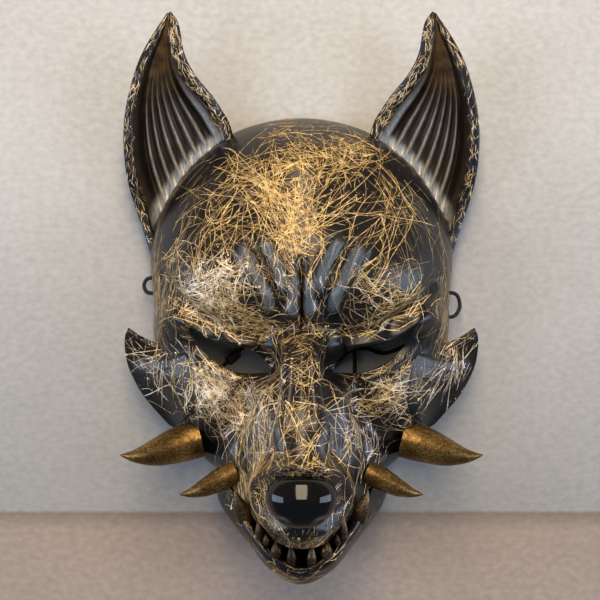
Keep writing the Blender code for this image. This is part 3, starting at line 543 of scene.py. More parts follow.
# How far points lie from a path, whether they are on its left, and how far along it they are
def nearPath(across, along, path):
    line = smoothLine(path, 6 * len(path))
    start, step = line[:-1], np.diff(line, axis=0)
    ahead = np.stack([across, along], axis=-1)[..., None, :] - start
    part = np.clip((ahead * step).sum(-1) / (step * step).sum(-1), 0, 1)
    off = ahead - part[..., None] * step
    far = np.linalg.norm(off, axis=-1)
    best = far.argmin(axis=-1)[..., None]
    side = step[:, 0] * off[..., 1] - step[:, 1] * off[..., 0]
    far, side, part = (np.take_along_axis(values, best, -1)[..., 0] for values in (far, side, part))
    return far, side > 0, (part + best[..., 0]) / len(step)


# The raised or sunk height at each point, and how much of it is a square ridge
def relief(points):
    x, y = points[..., 0], points[..., 1]
    height, ridged = np.zeros(x.shape), np.zeros(x.shape)
    for rise, left, right, square, path in face["strokes"]:
        route = np.array(path) / 1000 * size[:2]
        far, onLeft, part = nearPath(x, y, route)
        width = np.where(onLeft, left, right) / 1000 * mask["depth"]
        # a stroke fades at its ends, but not where it meets its mirror image
        starts, stops = (smoothStep(share / face["strokeEnds"]) for share in (part, 1 - part))
        ends = starts if path[-1][0] == 0 else stops if path[0][0] == 0 else starts * stops
        stroke = np.exp(-((far / width) ** square)) * ends
        height += rise / 1000 * mask["depth"] * stroke
        if square == face["ridgeSquare"]:
            ridged = np.maximum(ridged, stroke)
    for rise, across, along, wide, long, turn, flat in face["swells"]:
        angle = math.radians(turn)
        right, up = x - across * mask["halfWidth"], y - along * mask["length"]
        u = (right * math.cos(angle) + up * math.sin(angle)) / (wide * mask["halfWidth"])
        v = (up * math.cos(angle) - right * math.sin(angle)) / (long * mask["length"])
        height += rise * mask["depth"] * np.exp(-((u * u + v * v) ** flat))
    return height, ridged


def faceSurface(rows, columns):
    points = plainFace(rows, columns)
    outwards = gridNormals(points)
    outwards[:, 0, 0] = 0
    points = points + outwards * relief(points)[0][..., None]
    points[:, 0, 0] = 0
    return points


def atLevel(points, level):
    points = points.copy()
    points[..., 2] = level
    return points


def bothHalves(half):
    return np.concatenate([mirrored(half[:, :0:-1], -1), half], axis=1)


# Both halves of a sheet, with its sides and crown brought down past the back rim
def wholeSheet(half, below):
    half = np.concatenate([half, atLevel(half[:, -1:], -below)], axis=1)
    return bothHalves(np.concatenate([half, atLevel(half[-1:], -below)], axis=0))


def prismMesh(name, outline, low, high):
    bm = bmesh.new()
    ends = [[bm.verts.new((x, y + shift[1], z)) for x, y in outline] for z in (low, high)]
    for number in range(len(outline)):
        after = (number + 1) % len(outline)
        bm.faces.new((ends[0][number], ends[0][after], ends[1][after], ends[1][number]))
    for end in ends:
        bm.faces.new(end)
    bmesh.ops.recalc_face_normals(bm, faces=bm.faces)
    return pour(bm, bpy.data.meshes.new(name))


def holeMesh(name, side, along):
    bm = bmesh.new()
    radius = face["cordHole"] / 2
    bmesh.ops.create_cone(bm, cap_ends=True, segments=24, depth=0.03, radius1=radius, radius2=radius)
    mesh = pour(bm, bpy.data.meshes.new(name))
    for vertex in mesh.vertices:
        x, y, z = vertex.co
        vertex.co = (z + side * face["temple"], y + along + shift[1], x + face["cordHoleHeight"])
    return mesh


def eyeLine(side):
    outline = np.array(face["eyeOutline"] + face["eyeOutline"][:1]) / 1000
    return smoothLine(outline, face["eyePoints"] + 1)[:-1] * (side, 1) * size[:2]


def makeFace(finish):
    sheet = wholeSheet(faceSurface(face["rowsMade"], face["columnsMade"]), 2 * mask["wall"])
    piece = newPiece("maskFace", gridMesh("maskFace", sheet), finish, "satin_black_paint", "face_shell")
    outer = treeOf(piece)
    thicken(piece, mask["wall"])
    settle(piece)
    wide, long = 2 * mask["halfWidth"], mask["length"]
    cutters = [boxMesh("belowRim", (-wide, -long, -0.4 * mask["depth"]), (wide, long, 0))]
    for side in (-1, 1):
        cutters.append(prismMesh("eye", eyeLine(side), 0.15 * mask["depth"], mask["depth"]))
        for along in face["leftHolesY"] if side < 0 else face["rightHolesY"]:
            cutters.append(holeMesh("cordHole", side, along))
    carve(piece, cutters)
    smoothTo(piece.data, 48)
    print("face", len(piece.data.polygons), "faces")
    return piece, outer


# One fin: each row leaves the cheek along its slope and runs out to the free edge
def makeFin(name, side, outer, finish):
    table = np.array(fin["rows"]) / 1000
    scale = (*size[:2], *size)
    place = np.linspace(0, len(table) - 1, fin["rowsMade"])
    across = np.linspace(0, 1, fin["columnsMade"])
    share = across[:, None]
    front = []
    for number, (fromX, fromY, toX, toY, toZ) in zip(place, betweenRows(table * scale, place)):
        edge = np.array((toX, toY, toZ))
        above = Vector((fromX, fromY + shift[1], 2 * mask["depth"]))
        hit, normal = outer.ray_cast(above, Vector((0, 0, -1)))[:2]
        free = smoothStep(np.array((fin["freeRows"] + fin["easeRows"] / 2 - number) / fin["easeRows"]))
        start = np.array((fromX, fromY, toZ + fin["hookRise"]))
        leave = edge - start
        if hit is not None:
            onCheek, slope = np.array(hit) - shift, np.array(normal)
            away = edge - onCheek
            start = start * free + onCheek * (1 - free)
            leave = (edge - start) * free + (away - slope * np.dot(away, slope)) * (1 - free)
        arrive = (edge - start) * (1, 1, fin["arrive"])
        row = (
            start * (1 - 3 * share**2 + 2 * share**3) + edge * (3 * share**2 - 2 * share**3)
            + leave * (share - 2 * share**2 + share**3) + arrive * (share**3 - share**2)
        )
        for count, point in enumerate(row):
            cling = (1 - smoothStep(np.array(share[count, 0] / fin["clings"]))) * (1 - free)
            if cling > 0:
                near, slope = (np.array(found) for found in outer.find_nearest(Vector(point + shift))[:2])
                row[count] = point * (1 - cling) + (near - shift + fin["proud"] * slope) * cling
        front.append(row)
    front = np.stack(front)
    wall = fin["wall"] + (fin["edge"] - fin["wall"]) * across
    wall = wall * smoothStep(0.25 + across / 0.4)
    back = front - gridNormals(front) * wall[None, :, None]
    mesh = slabMesh(name, mirrored(front, side), mirrored(back, side))
    return newPiece(name, mesh, finish, "satin_black_paint", "face_shell")


# A closed solid between a front and a back grid of the same size
def slabMesh(name, front, back):
    rows, columns = front.shape[:2]
    around = np.concatenate([front, back], axis=0).reshape(-1, 3)
    top = np.arange(rows * columns).reshape(rows, columns)
    low = top + rows * columns
    faces = []
    for one, two, three, four in (
        (top[:-1, :-1], top[:-1, 1:], top[1:, 1:], top[1:, :-1]),
        (low[:-1, :-1], low[1:, :-1], low[1:, 1:], low[:-1, 1:]),
        (top[0, :-1], low[0, :-1], low[0, 1:], top[0, 1:]),
        (top[-1, :-1], top[-1, 1:], low[-1, 1:], low[-1, :-1]),
        (top[:-1, 0], top[1:, 0], low[1:, 0], low[:-1, 0]),
        (top[:-1, -1], low[:-1, -1], low[1:, -1], top[1:, -1]),
    ):
        faces += np.stack([one, two, three, four], axis=-1).reshape(-1, 4).tolist()
    mesh = bpy.data.meshes.new(name)
    mesh.from_pydata((around + shift).tolist(), [], faces)
    closeUp(mesh)
    smoothTo(mesh, 50)
    return mesh


# Lower jaw: a thicker U of the same resin under the open mouth
jaw = {
    "wall": 0.004,
    "softEdge": 0.0011,
    "fineRows": 120,  # before they are spread evenly
    "fineColumns": 180,
    "rowsMade": 60,
    "columnsMade": 70,
    # from the chin to the corner of the mouth: points from the lip to the rim, in thousandths
    "columns": (
        ((0, -540, 765), (0, -560, 740), (0, -583, 590),
         (0, -555, 250), (0, -535, 0)),
        ((160, -520, 740), (170, -538, 715), (190, -556, 570),
         (200, -537, 250), (200, -520, 0)),
        ((260, -492, 690), (280, -502, 660), (320, -509, 520),
         (330, -500, 250), (330, -487, 0)),
        ((360, -445, 600), (390, -455, 570), (440, -464, 450),
         (450, -458, 220), (440, -450, 0)),
        ((440, -398, 420), (470, -410, 390), (530, -425, 290),
         (530, -425, 150), (520, -420, 0)),
        ((490, -350, 260), (520, -360, 230), (560, -370, 160),
         (560, -372, 80), (550, -370, 0)),
    ),
}


def makeJaw(finish):
    table = np.array(jaw["columns"]) / 1000 * size
    table = np.concatenate([table[1:2] * (-1, 1, 1), table])
    fine = betweenRows(table, np.linspace(1, len(table) - 1, jaw["fineColumns"] + 1))
    profiles = [smoothLine(profile, jaw["fineRows"]) for profile in fine]
    lines = np.stack([evenSteps(profile, jaw["rowsMade"] + 1) for profile in profiles])
    half = evenRows(lines, jaw["columnsMade"] + 1).transpose(1, 0, 2)
    half[:, 0, 0] = 0
    sheet = bothHalves(half)[::-1]
    sheet[0, :, 2] = 0
    piece = newPiece("maskJaw", gridMesh("maskJaw", sheet), finish, "satin_black_paint", "lower_jaw")
    thicken(piece, jaw["wall"])
    soft = piece.modifiers.new("softEdge", "BEVEL")
    soft.width = jaw["softEdge"]
    soft.segments = 3
    soft.limit_method = "ANGLE"
    soft.angle_limit = math.radians(60)
    settle(piece)
    piece.data.shade_smooth()
    return piece


# The solid that fills the face, which the ears, nose and tusks are fitted against
def makeFiller():
    half, below = faceSurface(face["fillerRows"], face["fillerColumns"]), 2 * mask["wall"]
    sheet = wholeSheet(np.concatenate([atLevel(half[:1], 0), half], axis=0), below)
    floor = atLevel(sheet[:1], -below)
    return closeUp(gridMesh("filler", np.concatenate([floor, sheet], axis=0)), weld=0.00001)


# Ears: thin resin cups with a smooth rolled rim and a fluted hollow
ear = {
    "height": 0.151,
    "width": 0.069,
    "wall": 0.0028,
    "rim": 0.0085,
    "recess": 0.014,
    "lift": 0.038,
    "crest": 0.0012,
    "flutes": 7,
    "fluteDepth": 0.0026,
    "flare": 0.009,  # how far from the dome the silver flares out
    "bandSpread": 0.20,
    "widestBand": 0.40,
    "flutesStart": 0.24,
    "fluteRise": (0.06, 0.10),  # shares of the height where the flutes begin, and over how much
    "fluteEnd": (0.80, 0.30),
    "silverEnd": (0.62, 0.30),
    "rowsMade": 110,
    "bandColumns": 8,
    "fluteColumns": 10,
    "foot": (0.980, 0.103),
    # outer and inner edge in shares of the width and height, depth of the hollow and lift of the
    # rim, all in thousandths
    "rows": (
        (-20, -60, -800, 450, 450, 360),
        (70, 80, -740, 545, 600, 390),
        (150, 190, -670, 600, 800, 440),
        (205, 290, -600, 648, 950, 560),
        (230, 385, -530, 685, 1000, 660),
        (232, 490, -455, 725, 1000, 760),
        (207, 588, -385, 775, 900, 850),
        (146, 700, -335, 830, 720, 920),
        (61, 806, -312, 890, 500, 970),
        (-61, 904, -285, 950, 220, 1000),
        (-180, 985, -222, 993, 0, 1000),
    ),
}


def earPoints():
    rows = smoothLine(np.array(ear["rows"]) / 1000, ear["rowsMade"])
    foot, spans, lift = ear["foot"] * size[:2], (ear["width"], ear["height"]), rows[:, 5] * ear["lift"]
    outer, inner = (np.column_stack([foot + edge * spans, lift]) for edge in (rows[:, :2], rows[:, 2:4]))
    width = np.linalg.norm(inner - outer, axis=1)[:, None]
    band = np.minimum(ear["rim"] / width, ear["widestBand"])
    bandSpread = np.linspace(0, ear["bandSpread"], ear["bandColumns"] + 1)
    fluteSpread = np.linspace(
        ear["flutesStart"], 1 - ear["flutesStart"], ear["flutes"] * ear["fluteColumns"] + 1
    )
    spread = np.concatenate((bandSpread, fluteSpread, 1 - bandSpread[::-1]))[None, :]
    edge = np.minimum(spread, 1 - spread)
    inside = (edge - ear["bandSpread"]) / (0.5 - ear["bandSpread"])
    share = np.where(inside < 0, edge / ear["bandSpread"] * band, band + inside * (0.5 - band))
    share = np.where(spread > 0.5, 1 - share, share)
    recess = rows[:, 4:5] * ear["recess"]
    bowl = smoothStep((edge - 0.9 * ear["bandSpread"]) / (0.5 * ear["bandSpread"]))
    flute = np.clip((spread - ear["flutesStart"]) / (1 - 2 * ear["flutesStart"]), 0, 1)
    groove = np.abs(np.sin(math.pi * ear["flutes"] * flute)) ** 0.9
    height = np.linspace(0, 1, len(rows))[:, None]
    (low, rise), (high, fall), (silverHigh, silverFall) = ear["fluteRise"], ear["fluteEnd"], ear["silverEnd"]
    fade = smoothStep((height - low) / rise) * smoothStep((high - height) / fall)
    front = outer[:, None] * (1 - share[..., None]) + inner[:, None] * share[..., None]
    back = front.copy()
    front[..., 2] += ear["crest"] * np.sin(math.pi * np.clip(edge / ear["bandSpread"], 0, 1))
    front[..., 2] -= recess * bowl + ear["fluteDepth"] * groove * fade
    back[..., 2] -= ear["wall"] + (recess + ear["fluteDepth"]) * smoothStep(edge / ear["bandSpread"])
    ridge = smoothStep((0.50 - groove) / 0.35) * fade * (edge > ear["bandSpread"])
    ridge = ridge * (0.35 + 0.65 * smoothStep((silverHigh - height) / silverFall))
    hollowed = smoothStep((edge - 0.95 * ear["bandSpread"]) / 0.02)
    # a painted shadow along the inside of the outer rim, where the hollow drops steeply: darkened like the
    # grooves and kept free of silver
    shadow = smoothStep((ear["flutesStart"] + 0.07 - spread) / 0.06) * hollowed
    return front, back, {
        "silver": ridge * (1 - shadow),
        "hollow": hollowed * np.ones_like(ridge),
        # the grooves' darkness, which also carries the painted shadow inside the outer rim
        "groove": np.maximum(groove * fade, shadow),
    }


def makeEar(name, side, filler, outer, finish, node):
    front, back, layers = earPoints()
    near = [outer.find_nearest(Vector(place))[3] for place in mirrored(front.reshape(-1, 3), side) + shift]
    flare = smoothStep((ear["flare"] - np.array(near)) / (0.7 * ear["flare"])).reshape(front.shape[:2])
    layers["silver"] = np.maximum(layers["silver"], 0.7 * flare * layers["hollow"])
    mesh = slabMesh(name, mirrored(front, side), mirrored(back, side))
    for layer, values in layers.items():
        paintValue(mesh, layer, np.concatenate([values.ravel(), np.zeros(values.size)]))
    piece = newPiece(name, mesh, finish, "brown_ear_paint", node)
    carve(piece, [filler])
    piece.data.set_sharp_from_angle(angle=math.radians(50))
    return piece


# Nose: a soft-cornered ball under thick gloss lacquer, with two nostril dents
nose = {
    "width": 0.041,
    "height": 0.033,
    "depth": 0.017,
    "place": (0.0, -0.393, 0.950),
    "tilt": -16,
    "nostril": (0.52, -0.42),
    "nostrilSize": (0.20, 0.17),
    "nostrilDepth": 0.0022,
    "round": (0.85, 0.9),  # under 1 squares its outline
    "top": (0.14, 0.10),  # wider above its middle than below
}


def makeNose(filler, finish):
    bm = bmesh.new()
    bmesh.ops.create_uvsphere(bm, u_segments=96, v_segments=64, radius=1)
    middle = facePoint(*nose["place"])
    tilt = math.radians(nose["tilt"])
    for vertex in bm.verts:
        x, y, z = vertex.co
        width = 1.0 + nose["top"][0] * y - nose["top"][1] * y * y
        across = math.copysign(abs(x) ** nose["round"][0], x) * width
        along = math.copysign(abs(y) ** nose["round"][1], y)
        offX = (abs(x) - nose["nostril"][0]) / nose["nostrilSize"][0]
        offY = (y - nose["nostril"][1]) / nose["nostrilSize"][1]
        dent = math.exp(-offX * offX - offY * offY)
        out = z * nose["depth"] - (nose["nostrilDepth"] * dent if z > 0 else 0.0)
        up = along * nose["height"] / 2
        vertex.co = (
            across * nose["width"] / 2,
            middle[1] + up * math.cos(tilt) + out * math.sin(tilt) + shift[1],
            middle[2] - up * math.sin(tilt) + out * math.cos(tilt),
        )
    mesh = pour(bm, bpy.data.meshes.new("noseLacquered"))
    mesh.shade_smooth()
    piece = newPiece("noseLacquered", mesh, finish, "gloss_black", "nose_pad")
    carve(piece, [filler])
    return piece


# Tusks, fangs and teeth: root on the face or jaw, bend in shares of the reach, taper of the radius
horns = {
    "upperTusk": {
        "slot": "bronze_paint", "node": "upper_tusk", "root": (0.640, -0.300, 0.285),
        "reach": 0.050, "radius": 0.0118, "taper": (1.0, 0.99, 0.76, 0.40, 0.055),
        "bend": ((0.00, 0.00, 0.00), (0.25, -0.065, 0.03), (0.55, -0.164, 0.08), (0.80, -0.210, 0.11),
                 (1.0, -0.200, 0.12)),
    },
    "lowerTusk": {
        "slot": "bronze_paint", "node": "lower_tusk", "root": (0.400, -0.362, 0.450),
        "reach": 0.035, "radius": 0.0072, "taper": (1.0, 1.0, 0.80, 0.45, 0.08),
        "bend": ((0.00, 0.00, 0.00), (0.25, -0.11, 0.02), (0.55, -0.27, 0.04), (0.80, -0.365, 0.05),
                 (1.0, -0.40, 0.05)),
    },
    "jawFang": {
        "slot": "tooth_paint", "node": "jaw_fang", "root": (0.345, -0.448, 0.585),
        "reach": 0.0165, "radius": 0.0052, "taper": (1.0, 0.95, 0.62, 0.10),
        "bend": ((0.00, -0.10, -0.10), (0.10, 0.25, 0.05), (0.25, 0.62, 0.15), (0.36, 1.0, 0.22)),
    },
    "jawTooth": {
        "slot": "tooth_paint", "node": "jaw_tooth",
        "reach": 0.0110, "radius": 0.0033, "taper": (0.85, 1.0, 0.66, 0.12),
        "bend": ((0.00, -0.20, -0.15), (0.00, 0.25, 0.05), (0.02, 0.65, 0.12), (0.04, 1.0, 0.16)),
    },
    # the teeth of one side from the middle out: root, then width and height
    "teeth": (
        (0.060, -0.527, 0.745, 0.90, 0.92),
        (0.150, -0.512, 0.735, 1.05, 0.70),
        (0.212, -0.492, 0.700, 0.60, 0.48),
        (0.252, -0.480, 0.675, 0.85, 0.98),
    ),
    "sides": 28,
    "rings": 40,
    "tipRings": 6,
}


def makeHorn(kind, side, finish, number="", root=None, width=1.0, height=1.0, filler=None):
    horn, word = horns[kind], "Left" if side < 0 else "Right"
    line = facePoint(*(root or horn["root"])) + np.array(horn["bend"]) * horn["reach"] * height
    line = smoothLine(mirrored(line, side), horns["rings"])
    radii = smoothLine([(share,) for share in horn["taper"]], horns["rings"])[:, 0] * horn["radius"] * width
    # the last few rings close in a round tip
    tip = np.linspace(0, 1, horns["tipRings"] + 1)[1:]
    way = (line[-1] - line[-2]) / np.linalg.norm(line[-1] - line[-2])
    caps = [line[-1] + way * radii[-1] * math.sin(math.pi / 2 * share) for share in tip]
    radii = np.concatenate([radii, radii[-1] * np.cos(math.pi / 2 * tip * 0.97)])
    rings = ringsAlong(np.concatenate([line, caps]), radii, horns["sides"])
    name, node = f"{kind}{word}{number}", f"{horn['node']}_{word.lower()}{number and f'_{number}'}"
    piece = newPiece(name, ringMesh(name, rings), finish, horn["slot"], node)
    if filler is not None:
        carve(piece, [filler])


# Gold drizzle: metal leaf paint flung in threads, which dries as thin raised lines and drops. It
# falls in throws of a few lines each. Each zone has its middle and half sizes in mm, its turn, how
# many throws, their heading and how much it varies, the lines' length in mm, how they bend, their
# width in mm and their shade.
drizzle = {
    "step": 2.4,  # mm
    "lift": 0.02,
    "throw": (2, 6),  # lines
    "apart": 4.5,  # mm between the lines of a throw
    "fan": 14,  # degrees between them
    "lengths": (-0.15, 0.50),  # middle and spread of the lengths' and widths' logarithms
    "longest": 2.2,
    "widths": (0, 0.40),
    "bends": (0.3, 0.6, 0.6, 2.2),  # most lines run nearly straight, and some curl
    "drops": 0.5,  # chance of a drop on a line
    "dropWidths": (0.8, 1.6),
    "branch": 0.25,  # chance that a line throws off another
    "branchTurn": (25, 75),  # degrees
    "specks": 2.2,  # loose drops for each throw
    "seed": 41,
    "from": 0.3,  # m over the table, from where it falls
    "speckRadius": 0.27,  # mm
    "dropSides": 7,
    "speckSides": 5,
    "uneven": (0.75, 1.25),
    "columns": (
        "x", "y", "wide", "long", "turn", "throws", "heading", "spread", "length", "bend", "width", "shade",
    ),
    "zones": (
        (0, -10, 98, 130, 0, 38, 30, 90, 40, 3, 0.24, "dull"),  # a faint web over the whole face
        (0, 60, 66, 44, 0, 25, -40, 60, 44, 3, 0.29, "bright"),  # forehead
        (-14, 52, 42, 12, -47, 17, -45, 12, 62, 2, 0.31, "bright"),
        (22, 66, 48, 14, 42, 14, 42, 12, 56, 2, 0.28, "bright"),
        (8, 84, 26, 14, 8, 26, 20, 70, 20, 8, 0.32, "bright"),
        (0, 105, 24, 7, 0, 18, 10, 60, 16, 8, 0.30, "bright"),
        (33, 90, 9, 12, 50, 14, 50, 40, 18, 8, 0.46, "bright"),
        (-50, 52, 20, 30, 0, 9, 60, 40, 32, 4, 0.30, "bright"),
        (54, 56, 20, 28, 0, 7, -60, 40, 32, 4, 0.30, "bright"),
        (75, 34, 12, 48, 26, 10, -62, 9, 36, 2, 0.24, "dull"),  # sides of the dome
        (-76, 34, 12, 48, -24, 11, 66, 9, 36, 2, 0.24, "dull"),
        (-54, 6, 20, 20, 0, 46, -45, 60, 18, 8, 0.32, "pale"),  # left brow
        (-60, 8, 26, 30, 0, 16, 35, 25, 34, 4, 0.27, "bright"),
        (-42, -14, 34, 6, -14, 28, -18, 26, 22, 6, 0.31, "bright"),
        (52, 12, 26, 20, 0, 7, 40, 50, 26, 5, 0.28, "bright"),  # right brow
        (44, 2, 24, 10, -45, 6, -48, 8, 44, 2, 0.26, "pale"),
        (52, -10, 28, 6, 20, 16, 24, 26, 22, 6, 0.34, "bright"),
        (0, 14, 24, 20, 0, 9, -60, 40, 24, 5, 0.30, "pale"),  # between the brows
        (2, -37, 17, 18, 0, 10, 20, 80, 15, 6, 0.28, "bright"),
        (0, -18, 16, 10, 0, 12, 10, 80, 16, 7, 0.34, "bright"),
        (-40, -60, 25, 22, 0, 62, -55, 50, 22, 7, 0.29, "pale"),  # left cheek
        (-52, -58, 34, 20, 0, 24, -30, 60, 32, 5, 0.28, "bright"),
        (-66, -50, 18, 22, 0, 20, -60, 50, 22, 7, 0.27, "pale"),
        (-27, -92, 9, 42, -6, 16, -84, 7, 44, 2, 0.24, "bright"),
        (-27, -92, 11, 44, -6, 9, -84, 7, 44, 2, 0.24, "dull"),
        (0, -75, 13, 34, 0, 10, 65, 40, 30, 5, 0.27, "bright"),  # bridge
        (2, -101, 17, 11, 0, 14, 20, 70, 16, 8, 0.36, "bright"),
        (24, -87, 9, 36, 0, 8, 80, 18, 28, 5, 0.24, "bright"),
        (56, -56, 34, 13, 14, 19, 14, 14, 52, 2, 0.25, "pale"),  # right cheek
        (60, -52, 24, 18, 0, 17, 40, 40, 22, 6, 0.29, "bright"),
        (40, -84, 13, 18, 0, 14, 60, 40, 20, 6, 0.26, "pale"),
        (-99, -45, 15, 26, 0, 16, -40, 70, 24, 6, 0.26, "pale"),  # fins
        (98, -46, 14, 26, 0, 11, 62, 35, 28, 4, 0.26, "pale"),
        (-93, -12, 5, 32, 0, 18, 88, 6, 30, 2, 0.26, "dull"),  # temples
        (93, -12, 5, 32, 0, 19, -88, 6, 30, 2, 0.26, "dull"),
        (-25, -127, 9, 23, 40, 13, -55, 14, 26, 4, 0.26, "bright"),  # upper lip
        (22, -130, 9, 20, -40, 11, 50, 18, 20, 5, 0.26, "pale"),
        (0, -147, 22, 6, 0, 26, 0, 80, 10, 7, 0.30, "bright"),
        (0, -171, 28, 9, 0, 18, 20, 70, 10, 6, 0.34, "bright"),  # jaw
        (-38, -146, 8, 26, 34, 9, -50, 60, 10, 6, 0.28, "pale"),
        (38, -146, 8, 26, -34, 10, 50, 60, 10, 6, 0.31, "dull"),
    ),
    # short strokes along the rims of the ears, in mm and degrees
    "earLines": 380,
    "earTurn": 38,
    "earLength": (3, 10),
    "earBend": 6,
    "earWidth": 0.32,
}


def zoneRows():
    return [dict(zip(drizzle["columns"], row)) for row in drizzle["zones"]]


# A place in a zone, even all over it with a soft edge
def placeIn(zone, rng):
    angle, far = rng.uniform(0, 2 * math.pi), math.sqrt(rng.random()) * (1 + rng.gauss(0, 0.16))
    u, v = zone["wide"] * far * math.cos(angle), zone["long"] * far * math.sin(angle)
    turn = math.radians(zone["turn"])
    x = zone["x"] + u * math.cos(turn) - v * math.sin(turn)
    y = zone["y"] + u * math.sin(turn) + v * math.cos(turn)
    return x / 1000, y / 1000


def overEye(eyes, x, y):
    for outline, low, high in eyes:
        if low < y < high:
            after = np.roll(outline, -1, axis=0)
            rises = (outline[:, 1] > y) != (after[:, 1] > y)
            part = (y - outline[:, 1]) / (after[:, 1] - outline[:, 1] + 1e-12)
            cross = outline[:, 0] + part * (after[:, 0] - outline[:, 0])
            if np.count_nonzero(rises & (x < cross)) % 2:
                return True
    return False


def turned(way, slope, angle):
    return way * math.cos(angle) + slope.cross(way) * math.sin(angle)


# Where paint that falls at a place lands on the surface, and the surface's slope there
def landAt(tree, x, y):
    return tree.ray_cast(Vector((x, y + shift[1], drizzle["from"])), Vector((0, 0, -1)))[:2]


# Lets one thread of paint run over the surface; gives its points and the surface's slope there
def fallOn(tree, start, way, length, bend, rng, eyes):
    places, slopes = [], []
    step = drizzle["step"] / 1000
    point, way, turn = Vector(start), Vector(way), 0.0
    for _ in range(max(3, round(length / drizzle["step"]))):
        near, slope, _, far = tree.find_nearest(point)
        if near is None or far > 0.8 * step or overEye(eyes, near.x, near.y - shift[1]):
            break
        places.append(np.array(near))
        slopes.append(np.array(slope))
        way = way - slope * way.dot(slope)
        if way.length < 0.2:
            break
        way.normalize()
        turn = 0.75 * turn + math.radians(rng.gauss(0, bend))
        way = turned(way, slope, turn)
        point = near + way * step
    return np.array(places), np.array(slopes)


class Threads:
    def __init__(self):
        self.points, self.faces = [], []

    # A raised strip over the places, thin at both ends
    def add(self, places, slopes, width, rng):
        if len(places) < 3:
            return
        side = np.cross(slopes, np.gradient(places, axis=0))
        side /= np.maximum(np.linalg.norm(side, axis=1, keepdims=True), 1e-9)
        part = np.linspace(0, 1, len(places))
        swell = np.array([rng.uniform(*drizzle["uneven"]) for _ in places])
        half = (width / 2000 * swell * np.clip(9 * np.minimum(part, 1 - part) + 0.4, 0, 1))[:, None]
        crest = places + slopes * (0.55 * half + drizzle["lift"] / 1000)
        start = len(self.points)
        strip = np.stack([places - side * half, crest, places + side * half], axis=1)
        self.points += strip.reshape(-1, 3).tolist()
        for number in range(start, start + 3 * (len(places) - 1), 3):
            for corner in (number, number + 1):
                self.faces.append((corner, corner + 1, corner + 4, corner + 3))

    # A low round drop with an uneven edge
    def drop(self, place, slope, radius, rng, sides=drizzle["dropSides"]):
        aside = np.cross(slope, (0.3, 0.5, 0.7))
        aside /= np.linalg.norm(aside)
        other = np.cross(slope, aside)
        start = len(self.points)
        self.points.append((place + slope * 0.45 * radius).tolist())
        for number in range(sides):
            angle = 2 * math.pi * number / sides
            reach = radius * rng.uniform(*drizzle["uneven"])
            edge = place + reach * (math.cos(angle) * aside + math.sin(angle) * other)
            self.points.append(edge.tolist())
            self.faces.append((start, start + 1 + number, start + 1 + (number + 1) % sides))

    def mesh(self, name):
        mesh = bpy.data.meshes.new(name)
        mesh.from_pydata(self.points, [], self.faces)
        mesh.shade_smooth()
        return mesh


# One flung line with its drop and its side line
def flingLine(tree, zone, x, y, heading, threads, rng, eyes):
    length = zone["length"] * min(drizzle["longest"], math.exp(rng.gauss(*drizzle["lengths"])))
    bend = zone["bend"] * rng.choice(drizzle["bends"])
    width = zone["width"] * math.exp(rng.gauss(*drizzle["widths"]))
    x -= length / 2000 * math.cos(heading)
    y -= length / 2000 * math.sin(heading)
    hit = landAt(tree, x, y)[0]
    if hit is None or overEye(eyes, x, y):
        return
    places, slopes = fallOn(tree, hit, (math.cos(heading), math.sin(heading), 0), length, bend, rng, eyes)
    threads.add(places, slopes, width, rng)
    if len(places) < 4:
        return
    if rng.random() < drizzle["drops"]:
        chosen = rng.choice((0, -1, rng.randrange(len(places))))
        threads.drop(places[chosen], slopes[chosen], width / 1000 * rng.uniform(*drizzle["dropWidths"]), rng)
    if rng.random() < drizzle["branch"]:
        chosen = rng.randrange(1, len(places) - 1)
        turn = math.radians(rng.choice((-1, 1)) * rng.uniform(*drizzle["branchTurn"]))
        way = Vector(places[chosen + 1] - places[chosen]).normalized()
        way = turned(way, Vector(slopes[chosen]), turn)
        branch = fallOn(tree, places[chosen], way, 0.5 * length, 1.5 * bend, rng, eyes)
        threads.add(*branch, 0.75 * width, rng)


def makeDrizzle(tree, earTrees, finishes):
    rng = random.Random(drizzle["seed"])
    outlines = [eyeLine(side) for side in (-1, 1)]
    eyes = [(outline, outline[:, 1].min(), outline[:, 1].max()) for outline in outlines]
    shades = {shade: Threads() for shade in finishes}
    for zone in zoneRows():
        threads = shades[zone["shade"]]
        for _ in range(zone["throws"]):
            x, y = placeIn(zone, rng)
            heading = zone["heading"] + rng.gauss(0, zone["spread"]) + rng.choice((0, 180))
            for _ in range(rng.randint(*drizzle["throw"])):
                angle = math.radians(heading + rng.gauss(0, drizzle["fan"]))
                across, along = (rng.gauss(0, drizzle["apart"]) / 1000 for _ in range(2))
                flingLine(tree, zone, x + across, y + along, angle, threads, rng, eyes)
        for _ in range(round(drizzle["specks"] * zone["throws"])):
            x, y = placeIn(zone, rng)
            hit, slope = landAt(tree, x, y)
            radius = drizzle["speckRadius"] * math.exp(rng.gauss(0, 0.45)) / 1000
            if hit is not None and slope.z > 0.05:
                threads.drop(np.array(hit), np.array(slope), radius, rng, drizzle["speckSides"])
    for earTree, front in earTrees:
        rows, columns = front.shape[:2]
        for _ in range(drizzle["earLines"]):
            row, column = rng.randrange(4, rows - 3), rng.randrange(1, ear["bandColumns"])
            column = rng.choice((column, columns - 1 - column))
            along = (front[row + 1, column] - front[row, column]) * rng.choice((-1, 1))
            turn = math.radians(rng.gauss(0, drizzle["earTurn"]))
            way = turned(Vector(along).normalized(), Vector((0, 0, 1)), turn)
            start, length = front[row, column] + shift, rng.uniform(*drizzle["earLength"])
            places, slopes = fallOn(earTree, start, way, length, drizzle["earBend"], rng, eyes)
            threads = shades[rng.choice(("bright", "pale"))]
            threads.add(places, slopes, drizzle["earWidth"] * math.exp(rng.gauss(*drizzle["widths"])), rng)
    for shade, threads in shades.items():
        name = shade + "GoldThreads"
        newPiece(name, threads.mesh(name), finishes[shade], "bronze_paint")
        print("gold threads", shade, len(threads.faces), "faces")
